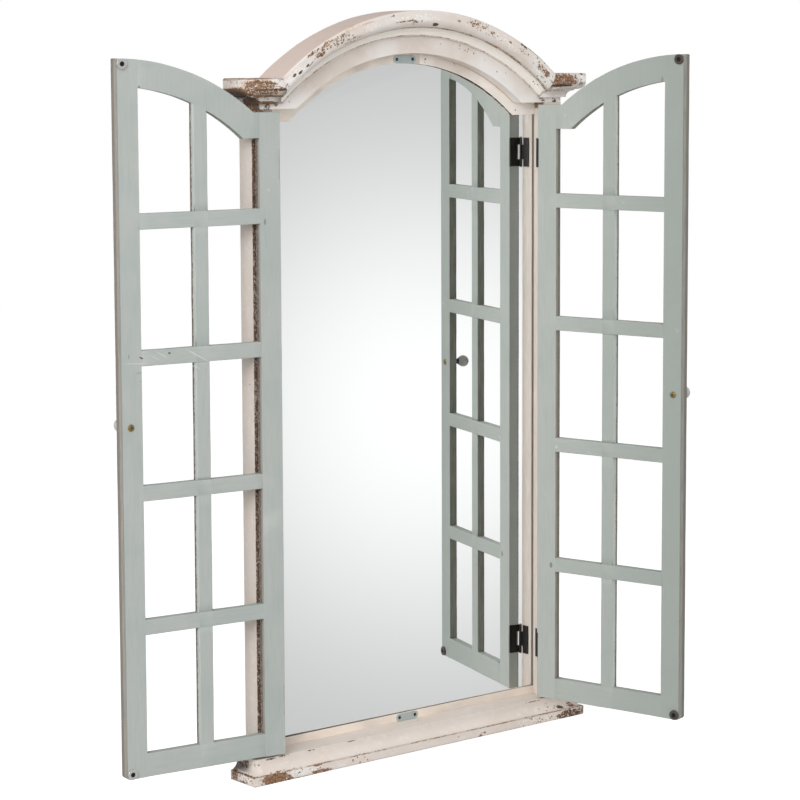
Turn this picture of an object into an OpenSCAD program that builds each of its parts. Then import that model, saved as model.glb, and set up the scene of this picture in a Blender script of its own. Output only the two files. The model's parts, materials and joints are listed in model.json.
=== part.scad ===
// Arched wall mirror in a painted wooden frame, with two hinged window shutters.
// Millimetres. +X is right, -Y is towards the viewer and +Z is up.
// The pieces are drawn with Z = 0 at the sill's underside, and then lowered as one, so
// that the origin is midway between the two hanging holes, in the wall's plane.

/* [Opening] */
// Clear width between the two jambs
opening_w = 509; // [440:1:640]
// Height of the sill ledge, which is the bottom of the opening
ledge_z = 35.5; // [34:0.5:60]
// Height of the head board's square shoulders above the ledge
shoulder_h = 914; // [860:1:1100]
// Width of each square shoulder beside the arch
shoulder_w = 43.5; // [36:0.5:60]
// Rise of the arch above its shoulders
arch_rise = 75.5; // [60:0.5:100]

/* [Frame] */
// Depth of the jambs, head board and bottom rail
frame_depth = 30; // [28:0.5:45]
// Width of each jamb
jamb_w = 35; // [30:0.5:60]
// Face width of the head board below the crown moulding
board_face_w = 25.5; // [15:0.5:45]
// Height of the crown moulding's bottom edge above the shoulders, at the ears
ear_lift = 7.5; // [2:0.5:12]

/* [Crown moulding] */
// Height of the crown moulding
crown_h = 36; // [32:0.5:50]
// Projection of the crown moulding in front of the frame
crown_proj = 27; // [24:0.5:40]
// Radius of the crown moulding's cove
crown_cove_r = 9; // [6:0.5:10]
// Height of the small fillet between the cove and the fascia
crown_fillet_h = 1.8; // [1:0.1:3]
// Projection of the small fillet between the cove and the fascia
crown_fillet_p = 14.5; // [12:0.5:16]
// Radius of the rounded underside of the fascia
crown_ovolo_r = 11.5; // [8:0.5:12]
// Height of the fascia, with its rounded underside
crown_fascia_h = 24; // [16:0.5:24]
// Radius of the crown moulding's top front edge
crown_edge_r = 3; // [1:0.5:5]

/* [Sill] */
// Projection of the sill moulding in front of the frame
sill_proj = 27; // [24:0.5:40]
// Height of the sill's front fascia
sill_fascia_h = 14.5; // [10:0.5:18]
// Radius of the sill's cove
sill_cove_r = 14; // [10:0.5:15]
// How far the cove's centre lies in front of the fascia
sill_cove_out = 2.3; // [1:0.1:4]
// Radius of the fascia's lower edge
sill_edge_r = 4; // [1:0.5:6]

/* [Mirror] */
// Face width of the stop round the arch
head_stop_w = 14.7; // [12:0.1:20]
// Face height of the stop under the square shoulders
shoulder_stop_h = 18.5; // [12:0.5:24]
// Face height of the bottom stop
bottom_stop_h = 12; // [11:0.5:20]
// Thickness of the stop in front of the glass
stop_lip_t = 2.5; // [2:0.1:5]
// Distance from the middle of the arch to the seam in the head stop
stop_seam_x = 29; // [24:1:60]
// How far the rebate runs behind the stops and jambs
rebate_w = 4; // [3:0.5:5]
// Gap all round between the glass and its rebate
glass_gap = 0.5; // [0.2:0.1:1]
// Thickness of the mirror glass
glass_t = 3; // [2:0.5:4]
// Thickness of the backing board
backing_t = 2.5; // [2:0.5:4]
// Depth of the backing board behind the frame's back face
backing_recess = 1.5; // [1:0.1:3]

/* [Glazing points] */
// Width of the glazing points
point_w = 10; // [6:0.5:12]
// Length of the glazing points
point_l = 12; // [10:0.5:14]
// Thickness of the glazing points
point_t = 0.8; // [0.4:0.1:1]
// How far each point is pushed into the wood
point_bite = 6; // [3:0.5:7]

/* [Shutters] */
// Gap round the closed shutters and between them
reveal = 3; // [2.5:0.5:4]
// Thickness of the shutters
shutter_t = 16; // [15:0.5:18]
// Width of the hinge stile
hinge_stile_w = 32.5; // [28:0.5:45]
// Width of the meeting stile
meeting_stile_w = 31.5; // [28:0.5:45]
// Height of the bottom rail
bottom_rail_w = 33; // [25:0.5:50]
// Width of the arched top rail
top_rail_w = 37.4; // [30:0.1:50]
// Height of the top rail's square end at the hinge stile
top_rail_end_h = 35.6; // [30:0.1:50]
// Width of the upright muntin
muntin_w = 21.5; // [19:0.5:28]
// Distance from the hinge edge to the muntin's middle
muntin_at = 124.7; // [110:0.1:130]
// Height of each cross bar
bar_w = 21.5; // [19:0.5:28]
// Height of the lowest cross bar's middle above the shutter's bottom edge
first_bar_at = 209.3; // [180:0.1:220]
// Height of the top rail's square end above the highest cross bar's middle
top_bar_drop = 107.5; // [90:0.5:130]
// Depth of the glazing rebates round the panes, in the shutters' outer faces
pane_rebate_d = 3.8; // [2:0.1:4.2]
// Width of the glazing rebates round the panes
pane_rebate_w = 8; // [4:0.5:8]
// Length of the stub tenons on the bars and rails
tenon_l = 8; // [5:0.5:12]
// Thickness of the stub tenons
tenon_t = 6; // [4:0.5:8]
// Shoulder above and below each stub tenon
tenon_shoulder = 3; // [2:0.5:5]
// Radius of the shutter's lower free corner
foot_corner_r = 5; // [2:0.5:8]
// Radius of the shutter's upper free corner
head_corner_r = 2; // [1:0.5:4]

/* [Hinges] */
// Height of the hinges
hinge_h = 44; // [36:1:60]
// Height of the upper hinge's middle below the shutter's shoulder
hinge_from_top = 73; // [45:1:120]
// Height of the lower hinge's middle above the shutter's bottom edge
hinge_from_bottom = 78; // [45:1:120]
// Thickness of the hinge leaves
leaf_t = 1.5; // [1:0.1:1.5]
// Distance from the pin's axis to the far edge of a leaf
leaf_reach = 17; // [14:0.5:17.5]
// Distance of the pin's axis in front of the jambs' front face
pin_forward = 2.1; // [2.1:0.1:2.5]
// Outside radius of the knuckles
knuckle_r = 2.2; // [1.8:0.1:2.2]
// Radius of the hinge pin
pin_r = 1.1; // [0.8:0.05:1.2]
// Length of the heads on both ends of the hinge pins
pin_head_l = 1; // [0.5:0.1:2]
// How far the heads stand out past the pin
pin_head_out = 0.6; // [0.2:0.1:1]
// Gap between the heads and the knuckles
pin_head_gap = 0.2; // [0.1:0.05:0.5]
// Radial running clearance of the pin in the shutter's knuckles
pin_play = 0.05; // [0.03:0.01:0.08]
// Gap between neighbouring knuckles
knuckle_gap = 0.15; // [0.1:0.05:0.3]
// Depth of the notches in a leaf, behind the other leaf's knuckles
leaf_notch = 3.4; // [0.2:0.1:4]

/* [Catches and knobs] */
// Diameter of the ring magnets
magnet_d = 14.5; // [10:0.5:16]
// Thickness of the ring magnets
magnet_t = 2.7; // [2:0.1:2.7]
// Gap between the magnets and the strike plates of the closed shutters
magnet_gap = 0.3; // [0.2:0.1:1]
// Distance from the shutter's top and bottom edges to the magnets' middles
magnet_from_edge = 7.3; // [7:0.1:12]
// Gap between the magnets and the shutter's free edge
magnet_edge_gap = 0.4; // [0:0.1:2]
// Length of the strike plates
strike_l = 41; // [34:1:60]
// Height of the strike plates
strike_w = 11.5; // [9:0.5:12]
// Thickness of the strike plates
strike_t = 1; // [0.6:0.1:1]
// Gap between the strike plates and the glass side or ledge that they line up with
strike_gap = 0.3; // [0.1:0.1:1]
// Distance between a strike plate's screws
strike_hole_pitch = 29.5; // [24:0.5:40]
// Distance from the shutter's free edge to the knob's axis
knob_from_edge = 14; // [10:0.5:20]
// Height of the knobs above the shutter's bottom edge
knob_at = 486.5; // [440:0.5:520]
// Diameter of the knob's round end
knob_d = 18.5; // [14:0.5:22]
// Length of the knob's dark neck
neck_l = 6.9; // [5:0.1:16]
// How far the screw enters the knob
knob_bore_l = 10; // [6:0.5:14]
// Radius of the neck where it meets the knob
neck_end_r = 5; // [3.5:0.1:6]

/* [Hangers] */
// Depth of the hanging holes below the frame's shoulders
hanger_drop = 69.5; // [30:0.5:250]
// Width of the hanging plates
hanger_w = 16; // [13:0.5:20]
// Length of the hanging plates
hanger_l = 46; // [40:1:60]
// Thickness of the hanging plates
hanger_t = 1.5; // [1:0.1:2]
// Distance of the hanging plates' screws from their ends
hanger_screw_inset = 5; // [4:0.5:8]
// Radius of the keyhole's round entry
keyhole_r = 4.5; // [3.5:0.1:5]
// Width of the keyhole's slot
keyhole_slot_w = 4.5; // [3:0.1:6]
// Length of the keyhole's slot, from the middle of its round entry
keyhole_slot_l = 9; // [6:0.5:11]
// Depth of the pocket behind each hanging plate
hanger_pocket = 12; // [8:0.5:16]

/* [Screws] */
// Head diameter of the hinge screws
hinge_screw_d = 5.8; // [5:0.1:6.4]
// Length of the hinge screws
hinge_screw_l = 13; // [10:0.5:16]
// Head diameter of the strike plates' screws
strike_screw_d = 5; // [4:0.1:6]
// Length of the strike plates' screws
strike_screw_l = 8; // [6:0.5:9]
// Head diameter of the magnets' screws
magnet_screw_d = 6.8; // [5:0.1:7.5]
// Length of the magnets' screws
magnet_screw_l = 12; // [8:0.5:14]
// Head diameter of the hanging plates' screws
hanger_screw_d = 6.2; // [5:0.1:7]
// Length of the hanging plates' screws
hanger_screw_l = 13; // [8:0.5:16]
// Diameter of the knob screws
knob_screw_d = 4; // [3:0.1:4.5]
// Head diameter of the knob screws
knob_screw_head_d = 10; // [8:0.1:12]

/* [Pose] */
// Opening angle of the left shutter
left_open = 186.7; // [0:0.1:186.7]
// Opening angle of the right shutter
right_open = 105; // [0:0.5:186.5]

/* [Hidden] */
$fn = 96;
over = 1;                       // how far cutters run past the surface they cut
tall = 2000;                    // larger than the object
half_opening = opening_w / 2;
half_frame = half_opening + jamb_w;
shoulder_z = ledge_z + shoulder_h;
arch_half = half_opening - shoulder_w;
arch_r = (arch_half * arch_half + arch_rise * arch_rise) / (2 * arch_rise);
arch_z = shoulder_z + arch_rise - arch_r;      // height of the arch's centre
crown_r = arch_r + board_face_w;               // inner radius of the crown moulding
top_r = crown_r + crown_h;
ear_z = shoulder_z + ear_lift;
ear_top_z = ear_z + crown_h;

backing_y = -backing_recess;                   // back face of the backing board
glass_back_y = backing_y - backing_t;
glass_y = glass_back_y - glass_t;              // front face of the glass
stop_y = glass_y - stop_lip_t;                 // front face of the stops
sight_r = arch_r - head_stop_w;                // radius of the glass that shows
sight_shoulder_z = shoulder_z - shoulder_stop_h;
sight_z = ledge_z + bottom_stop_h;

hinge_edge_x = half_opening - reveal;          // the closed shutter's hinge edge
shutter_w = hinge_edge_x - reveal / 2;
inner_y = stop_y - strike_t - magnet_gap - magnet_t;   // the closed shutter's inner face
outer_y = inner_y - shutter_t;
foot_z = ledge_z + reveal;
shutter_r = arch_r - reveal;
shutter_shoulder_z = shoulder_z - reveal;
pane_r = shutter_r - top_rail_w;
pane_shoulder_z = shutter_shoulder_z - top_rail_end_h;
pane_u0 = hinge_stile_w;
pane_u1 = shutter_w - meeting_stile_w;
pane_z = foot_z + bottom_rail_w;
bar_count = 4;
first_bar_z = foot_z + first_bar_at;
last_bar_z = pane_shoulder_z - top_bar_drop;

pin_x = half_opening - reveal / 2;
pin_y = -frame_depth - pin_forward;
hinge_zs = [foot_z + hinge_from_bottom, shutter_shoulder_z - hinge_from_top];
leaf_plate_y = pin_y + knuckle_r + leaf_notch; // front edge of the leaves' flat plates
leaf_back_y = pin_y + leaf_reach;
hinge_screw_y = (leaf_plate_y + leaf_back_y) / 2;
hinge_screw_dz = hinge_h * 0.32;

magnet_u = shutter_w - magnet_d / 2 - magnet_edge_gap;
magnet_zs = [foot_z + magnet_from_edge, arch_z + shutter_r - magnet_from_edge];
strike_zs = [ledge_z + strike_w / 2 + strike_gap,
    arch_z + sight_r + strike_w / 2 + strike_gap];
knob_u = shutter_w - knob_from_edge;
knob_z = foot_z + knob_at;
knob_screw_r = knob_screw_d / 2;
ball_from_face = neck_l + knob_d / 2;
hanger_z = shoulder_z - hanger_drop;
hanger_x = half_opening + rebate_w + (jamb_w - rebate_w) / 2;
hanger_screw_dz = hanger_l / 2 - hanger_screw_inset;

cream = "#ddd0c4";
sage = "#a9b4ac";
wood = "#a98a68";
steel = "#9aa0a4";
black = "#1c1b1a";

// ---------- shared shapes ----------

// A flat shape drawn in X and Z, given thickness from y0 back to y1.
module slab(y0, y1)
    translate([0, y1, 0]) rotate([90, 0, 0]) linear_extrude(y1 - y0) children();

// Square-shouldered arch in X and Z, with its bottom edge at z0.
module arched(half, z0, square_top, r) {
    translate([-half, z0]) square([2 * half, square_top - z0]);
    intersection() {
        translate([0, arch_z]) circle(r, $fn = 360);
        translate([-half, square_top]) square([2 * half, tall]);
    }
}

module opening_shape() arched(half_opening, ledge_z, shoulder_z, arch_r);
module sight_shape() arched(half_opening, sight_z, sight_shoulder_z, sight_r);
module rebate_shape(gap = 0)
    arched(half_opening + rebate_w - gap, sight_z - rebate_w + gap,
        sight_shoulder_z + rebate_w - gap, sight_r + rebate_w - gap);

// Screw along -Z with its countersunk head's face at z = 0.
module screw(head_d, length) {
    r = head_d / 4;
    rim = head_d / 30;
    rotate_extrude()
        polygon([[0, 0], [2 * r, 0], [2 * r, -rim], [r, -rim - r], [r, 1.5 * r - length],
            [rim, -length], [0, -length]]);
}

module hinge_screw() screw(hinge_screw_d, hinge_screw_l);
module strike_screw() screw(strike_screw_d, strike_screw_l);
module magnet_screw() screw(magnet_screw_d, magnet_screw_l);
module hanger_screw() screw(hanger_screw_d, hanger_screw_l);

// Rounds a corner of a shape in X and Z: the material beyond the arc, to be cut away.
module corner_cut(x, z, dx, dz, r)
    difference() {
        translate([x - (dx > 0 ? r : over), z - (dz > 0 ? r : over)]) square(r + over);
        translate([x - dx * r, z - dz * r]) circle(r);
    }

// ---------- frame ----------

// Outline of the crown moulding: projection in X, height in Y.
module crown_profile() {
    fascia_z = crown_h - crown_fascia_h;
    cove_z = fascia_z - crown_cove_r - crown_fillet_h;
    difference() {
        square([crown_proj, crown_h]);
        translate([crown_fillet_p, -over]) square([crown_proj, fascia_z + over]);
        translate([crown_fillet_p, cove_z]) circle(crown_cove_r);
        translate([crown_fillet_p - crown_cove_r, -over])
            square([crown_cove_r, cove_z + over]);
        corner_cut(crown_proj, fascia_z, 1, -1, crown_ovolo_r);
        corner_cut(crown_proj, crown_h, 1, 1, crown_edge_r);
    }
}

// Outline of the sill moulding: projection in X, height in Y.
module sill_profile() {
    cove_p = sill_proj + sill_cove_out;
    cove_z = sill_fascia_h + sqrt(sill_cove_r * sill_cove_r - sill_cove_out * sill_cove_out);
    difference() {
        square([sill_proj, ledge_z]);
        translate([cove_p, cove_z]) circle(sill_cove_r);
        translate([cove_p - sill_cove_r, cove_z]) square([sill_proj, tall]);
        corner_cut(sill_proj, 0, 1, -1, sill_edge_r);
    }
}

// A moulding that goes round the front and both sides of the frame with mitred
// corners. The children are its outline.
module wrapped(z, height)
    translate([0, 0, z])
        difference() {
            intersection() {
                rotate([90, 0, 90]) translate([0, 0, -tall])
                    linear_extrude(2 * tall) union() {
                        translate([-frame_depth, 0]) mirror([1, 0]) children();
                        translate([-frame_depth, 0]) square([frame_depth, height]);
                    }
                slab(-tall, 0) union() {
                    translate([half_frame, 0]) children();
                    mirror([1, 0]) translate([half_frame, 0]) children();
                    translate([-half_frame, 0]) square([2 * half_frame, height]);
                }
            }
            translate([-half_frame, -frame_depth, -over])
                cube([2 * half_frame, frame_depth + over, height + 2 * over]);
        }

// The part of the crown beyond the mitre between the arch and one ear.
module beyond_mitre(side) {
    x0 = sqrt(crown_r * crown_r - pow(ear_z - arch_z, 2));
    x1 = sqrt(top_r * top_r - pow(ear_top_z - arch_z, 2));
    slope = (x1 - x0) / crown_h;
    low_z = arch_z - over;
    high_z = ear_top_z + over;
    slab(-tall, over)
        polygon([[side * (x0 - (ear_z - low_z) * slope), low_z], [side * tall, low_z],
            [side * tall, high_z], [side * (x1 + over * slope), high_z]]);
}

module crown_moulding()
    color(cream)
        difference() {
            translate([0, -frame_depth, arch_z]) rotate([90, 0, 0])
                rotate_extrude(angle = 180, $fn = 360)
                    translate([crown_r, 0]) mirror([1, -1]) crown_profile();
            beyond_mitre(-1);
            beyond_mitre(1);
        }

module ear_moulding(side)
    color(cream)
        intersection() {
            wrapped(ear_z, crown_h) crown_profile();
            beyond_mitre(side);
        }

module sill_moulding() color(cream) wrapped(0, ledge_z) sill_profile();

module head_board()
    color(cream)
        slab(-frame_depth, 0)
            difference() {
                union() {
                    intersection() {
                        translate([0, arch_z]) circle(top_r, $fn = 360);
                        translate([-half_frame, shoulder_z]) square([2 * half_frame, tall]);
                    }
                    translate([-half_frame, shoulder_z])
                        square([2 * half_frame, ear_top_z - shoulder_z]);
                }
                translate([0, arch_z]) circle(arch_r, $fn = 360);
            }

module bottom_rail()
    color(cream)
        translate([-half_frame, -frame_depth, 0])
            cube([2 * half_frame, frame_depth, ledge_z]);

module jamb(side)
    color(cream)
        difference() {
            translate([side < 0 ? -half_frame : half_opening, -frame_depth, ledge_z])
                cube([jamb_w, frame_depth, shoulder_h]);
            slab(glass_y, over) rebate_shape();
            jamb_hinge_screws();
            hanger_pockets();
            hanging_plate_screws();
            glazing_points();
        }

// ---------- mirror ----------

module head_stop_blank()
    difference() {
        slab(stop_y, 0)
            difference() {
                intersection() {
                    opening_shape();
                    translate([-half_opening, sight_shoulder_z]) square([opening_w, tall]);
                }
                sight_shape();
            }
        slab(glass_y, over) rebate_shape();
        strike_plate_screws();
        glazing_points();
    }

module head_stop_left()
    color(cream)
        intersection() {
            head_stop_blank();
            translate([-tall, -tall, 0]) cube([tall + stop_seam_x, 2 * tall, tall]);
        }

module head_stop_right()
    color(cream)
        intersection() {
            head_stop_blank();
            translate([stop_seam_x, -tall, 0]) cube([tall, 2 * tall, tall]);
        }

module bottom_stop()
    color(cream)
        difference() {
            translate([-half_opening, stop_y, ledge_z])
                cube([opening_w, -stop_y, bottom_stop_h]);
            slab(glass_y, over) rebate_shape();
            strike_plate_screws();
            glazing_points();
        }

module mirror_glass() color("#cfd4d6") slab(glass_y, glass_back_y) rebate_shape(glass_gap);

module backing_board() color(wood) slab(glass_back_y, backing_y) rebate_shape(glass_gap);

// One thin steel point: it lies on the backing board and its tip is pushed into
// the rebate's wall, which is at the origin with the wood on the +Z side.
module glazing_point()
    slab(backing_y, backing_y + point_t)
        polygon([[-point_w / 2, point_bite - point_l], [point_w / 2, point_bite - point_l],
            [0, point_bite]]);

module glazing_points()
    color(steel) {
        wall_x = half_opening + rebate_w;
        low_z = sight_z - rebate_w;
        high_z = sight_shoulder_z + rebate_w;
        for (side = [-1, 1], i = [0 : 4])
            translate([side * wall_x, 0, low_z + (i + 0.5) * (high_z - low_z) / 5])
                rotate([0, side * 90, 0]) glazing_point();
        for (x = [-0.6, 0, 0.6])
            translate([x * half_opening, 0, low_z]) rotate([0, 180, 0]) glazing_point();
        for (a = [-30, -12, 12, 30])
            translate([0, 0, arch_z]) rotate([0, a, 0])
                translate([0, 0, sight_r + rebate_w]) glazing_point();
    }

// ---------- strike plates ----------

module at_strike_screws()
    for (z = strike_zs, x = [-0.5, 0.5])
        translate([x * strike_hole_pitch, stop_y - strike_t, z]) rotate([90, 0, 0]) children();

module strike_plate(i)
    color(steel)
        difference() {
            slab(stop_y - strike_t, stop_y) {
                translate([-(strike_l - strike_w) / 2, strike_zs[i] - strike_w / 2])
                    square([strike_l - strike_w, strike_w]);
                for (side = [-1, 1])
                    translate([side * (strike_l - strike_w) / 2, strike_zs[i]])
                        circle(strike_w / 2);
            }
            strike_plate_screws();
        }

module strike_plate_screws() color(black) at_strike_screws() strike_screw();

// ---------- hangers ----------

module at_hangers()
    for (side = [-1, 1]) translate([side * hanger_x, 0, hanger_z]) children();

// The slot runs up from the keyhole's round entry.
module hanging_plates()
    color(steel)
        difference() {
            at_hangers()
                slab(-hanger_t, 0)
                    difference() {
                        union() {
                            translate([-hanger_w / 2, hanger_w / 2 - hanger_l / 2])
                                square([hanger_w, hanger_l - hanger_w]);
                            for (dz = [-1, 1])
                                translate([0, dz * (hanger_l - hanger_w) / 2])
                                    circle(hanger_w / 2);
                        }
                        circle(keyhole_r);
                        translate([-keyhole_slot_w / 2, 0])
                            square([keyhole_slot_w, keyhole_slot_l]);
                        translate([0, keyhole_slot_l]) circle(keyhole_slot_w / 2);
                    }
            hanging_plate_screws();
        }

module hanger_pockets()
    at_hangers() {
        slab(-hanger_t, over) {
            translate([-hanger_w / 2, hanger_w / 2 - hanger_l / 2])
                square([hanger_w, hanger_l - hanger_w]);
            for (dz = [-1, 1])
                translate([0, dz * (hanger_l - hanger_w) / 2]) circle(hanger_w / 2);
        }
        slab(-hanger_pocket, over) {
            circle(keyhole_r + 1);
            translate([-keyhole_r - 1, 0]) square([2 * keyhole_r + 2, keyhole_slot_l]);
            translate([0, keyhole_slot_l]) circle(keyhole_r + 1);
        }
    }

module hanging_plate_screws()
    color(steel)
        at_hangers()
            for (dz = [-1, 1])
                translate([0, 0, dz * hanger_screw_dz]) rotate([-90, 0, 0]) hanger_screw();

// ---------- hinges, drawn on the left side with the shutter closed ----------

module to_side(side)
    if (side < 0) {
        children();
    } else {
        mirror([1, 0, 0]) children();
    }

// Turns the closed shutter of one side to its pose about its hinge pins.
module swung(side)
    translate([side * pin_x, pin_y, 0])
        rotate([0, 0, side * (side < 0 ? left_open : right_open)])
            translate([-side * pin_x, -pin_y, 0])
                to_side(side) children();

// One length of knuckle with its tongue, from z0 to z1. The tongue's inner face is
// at tongue_x beside the pin's axis.
module knuckle(z0, z1, tongue_x) {
    translate([-pin_x, pin_y, z0]) cylinder(h = z1 - z0, r = knuckle_r);
    translate([tongue_x, pin_y, z0]) cube([leaf_t, leaf_plate_y - pin_y, z1 - z0]);
}

module leaf_plate(x, z)
    translate([x, leaf_plate_y, z - hinge_h / 2])
        cube([leaf_t, leaf_back_y - leaf_plate_y, hinge_h]);

module jamb_leaf(side, z)
    color(black)
        to_side(side)
            difference() {
                union() {
                    leaf_plate(-half_opening, z);
                    knuckle(z - hinge_h / 4, z + hinge_h / 4, -half_opening);
                }
                translate([-pin_x, pin_y, z - hinge_h]) cylinder(h = 2 * hinge_h, r = pin_r);
                jamb_hinge_screws();
            }

module shutter_leaf(side, z)
    color(black)
        swung(side)
            difference() {
                union() {
                    leaf_plate(-hinge_edge_x, z);
                    for (end = [-1, 1]) {
                        z0 = z + end * (hinge_h / 4 + knuckle_gap);
                        z1 = z + end * hinge_h / 2;
                        knuckle(min(z0, z1), max(z0, z1), -hinge_edge_x);
                    }
                }
                translate([-pin_x, pin_y, z - hinge_h])
                    cylinder(h = 2 * hinge_h, r = pin_r + pin_play);
                closed_hinge_screws();
            }

module hinge_pins()
    color(black)
        for (side = [-1, 1], z = hinge_zs)
            translate([side * pin_x, pin_y, z]) {
                half = hinge_h / 2 + pin_head_gap + pin_head_l;
                translate([0, 0, -half]) cylinder(h = 2 * half, r = pin_r);
                for (low = [-half, half - pin_head_l])
                    translate([0, 0, low])
                        cylinder(h = pin_head_l, r = pin_r + pin_head_out);
            }

module jamb_hinge_screws()
    color(black)
        for (side = [-1, 1], z = hinge_zs, dz = [-1, 1])
            to_side(side)
                translate([-half_opening + leaf_t, hinge_screw_y, z + dz * hinge_screw_dz])
                    rotate([0, 90, 0]) hinge_screw();

module closed_hinge_screws()
    for (z = hinge_zs, dz = [-1, 1])
        translate([-hinge_edge_x, hinge_screw_y, z + dz * hinge_screw_dz])
            rotate([0, -90, 0]) hinge_screw();

module hinge_screws(side) color(black) swung(side) closed_hinge_screws();

// ---------- shutters, drawn on the left side and closed ----------

// A shape whose X runs from the shutter's hinge edge, with the shutter's thickness.
module board(w0 = 0, w1 = shutter_t)
    translate([-hinge_edge_x, 0, 0]) slab(outer_y + w0, outer_y + w1) children();

module shutter_shape()
    difference() {
        intersection() {
            translate([hinge_edge_x, 0])
                arched(hinge_edge_x, foot_z, shutter_shoulder_z, shutter_r);
            square([shutter_w, tall]);
        }
        corner_cut(shutter_w, foot_z, 1, -1, foot_corner_r);
        corner_cut(shutter_w, arch_z + shutter_r, 1, 1, head_corner_r);
    }

// The space inside the stiles and rails, made larger all round by grow.
module pane_shape(grow = 0)
    intersection() {
        translate([hinge_edge_x, 0])
            arched(hinge_edge_x - pane_u0 + grow, pane_z - grow, pane_shoulder_z + grow,
                pane_r + grow);
        translate([pane_u0 - grow, 0]) square([pane_u1 - pane_u0 + 2 * grow, tall]);
    }

// Height of a cross bar's middle; the bars are evenly spaced.
function bar_z(i) = first_bar_z + i * (last_bar_z - first_bar_z) / (bar_count - 1);

// The rebates round all the panes, to be cut from the members' outer faces.
module pane_rebates()
    board(-over, pane_rebate_d)
        difference() {
            pane_shape(pane_rebate_w);
            translate([muntin_at - muntin_w / 2 + pane_rebate_w, 0])
                square([muntin_w - 2 * pane_rebate_w, tall]);
            for (i = [0 : bar_count - 1])
                translate([0, bar_z(i) - bar_w / 2 + pane_rebate_w])
                    square([shutter_w, bar_w - 2 * pane_rebate_w]);
        }

// Stub tenons on both ends of a member between heights z0 and z1. Each starts inside
// the member.
module tenons(z0, z1)
    board((shutter_t - tenon_t) / 2, (shutter_t + tenon_t) / 2)
        for (u = [pane_u0 - tenon_l, pane_u1 - over])
            translate([u, z0 + tenon_shoulder])
                square([tenon_l + over, z1 - z0 - 2 * tenon_shoulder]);

module all_tenons() {
    tenons(foot_z, pane_z);
    for (i = [0 : bar_count - 1]) tenons(bar_z(i) - bar_w / 2, bar_z(i) + bar_w / 2);
}

// The top rail's tenon into the hinge stile, at its square end.
module tenon_at_shoulder()
    board((shutter_t - tenon_t) / 2, (shutter_t + tenon_t) / 2)
        translate([pane_u0 - tenon_l, pane_shoulder_z + tenon_shoulder])
            square([tenon_l + over, top_rail_end_h - 2 * tenon_shoulder]);

// The top rail's tenon into the meeting stile, under the arch's crown.
module tenon_at_head()
    board((shutter_t - tenon_t) / 2, (shutter_t + tenon_t) / 2)
        translate([pane_u1 - over, arch_z + pane_r + tenon_shoulder])
            square([tenon_l + over, top_rail_w - 3 * tenon_shoulder]);

// Where the muntin and a cross bar are halved into each other.
module halving(i, w0, w1)
    board(w0, w1)
        translate([muntin_at - muntin_w / 2, bar_z(i) - bar_w / 2]) square([muntin_w, bar_w]);

module closed_knob_screw()
    translate([knob_u - hinge_edge_x, 0, knob_z]) rotate([-90, 0, 0]) {
        translate([0, 0, outer_y - neck_l - knob_bore_l])
            cylinder(h = shutter_t + neck_l + knob_bore_l, r = knob_screw_r);
        translate([0, 0, inner_y])
            rotate_extrude()
                difference() {
                    intersection() {
                        translate([0, -0.46 * knob_screw_head_d])
                            circle(0.68 * knob_screw_head_d);
                        square(knob_screw_head_d / 2);
                    }
                    translate([-over, 0.14 * knob_screw_head_d])
                        square([0.1 * knob_screw_head_d + over, knob_screw_head_d]);
                }
    }

module closed_magnet_screws()
    for (z = magnet_zs)
        translate([magnet_u - hinge_edge_x, inner_y + magnet_t, z])
            rotate([-90, 0, 0]) magnet_screw();

module hinge_stile(side)
    color(sage)
        swung(side)
            difference() {
                board() intersection() {
                    shutter_shape();
                    square([hinge_stile_w, tall]);
                }
                pane_rebates();
                all_tenons();
                tenon_at_shoulder();
                for (z = hinge_zs)
                    board(-over, shutter_t + over)
                        translate([-over, z - hinge_h / 2]) square([leaf_t + over, hinge_h]);
                closed_hinge_screws();
            }

module meeting_stile(side)
    color(sage)
        swung(side)
            difference() {
                board() intersection() {
                    shutter_shape();
                    translate([pane_u1, 0]) square([meeting_stile_w, tall]);
                }
                pane_rebates();
                all_tenons();
                tenon_at_head();
                closed_magnet_screws();
                translate([knob_u - hinge_edge_x, 0, knob_z]) rotate([-90, 0, 0])
                    translate([0, 0, outer_y - over])
                        cylinder(h = shutter_t + 2 * over, r = knob_screw_r + 0.2);
            }

module top_rail(side)
    color(sage)
        swung(side) {
            difference() {
                board() intersection() {
                    difference() {
                        shutter_shape();
                        pane_shape();
                    }
                    translate([pane_u0, pane_shoulder_z]) square([pane_u1 - pane_u0, tall]);
                }
                pane_rebates();
            }
            tenon_at_shoulder();
            tenon_at_head();
        }

module bottom_rail_of(side)
    color(sage)
        swung(side) {
            difference() {
                board() translate([pane_u0, foot_z])
                    square([pane_u1 - pane_u0, bottom_rail_w]);
                pane_rebates();
            }
            tenons(foot_z, pane_z);
        }

module muntin(side)
    color(sage)
        swung(side)
            difference() {
                board() intersection() {
                    pane_shape();
                    translate([muntin_at - muntin_w / 2, 0]) square([muntin_w, tall]);
                }
                pane_rebates();
                for (i = [0 : bar_count - 1]) halving(i, shutter_t / 2, shutter_t + over);
            }

module cross_bar(side, i)
    color(sage)
        swung(side)
            difference() {
                union() {
                    board() translate([pane_u0, bar_z(i) - bar_w / 2])
                        square([pane_u1 - pane_u0, bar_w]);
                    tenons(bar_z(i) - bar_w / 2, bar_z(i) + bar_w / 2);
                }
                pane_rebates();
                halving(i, -over, shutter_t / 2);
            }

// ---------- knobs and magnets ----------

module on_knob_axis()
    translate([knob_u - hinge_edge_x, outer_y, knob_z]) rotate([90, 0, 0]) children();

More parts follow.
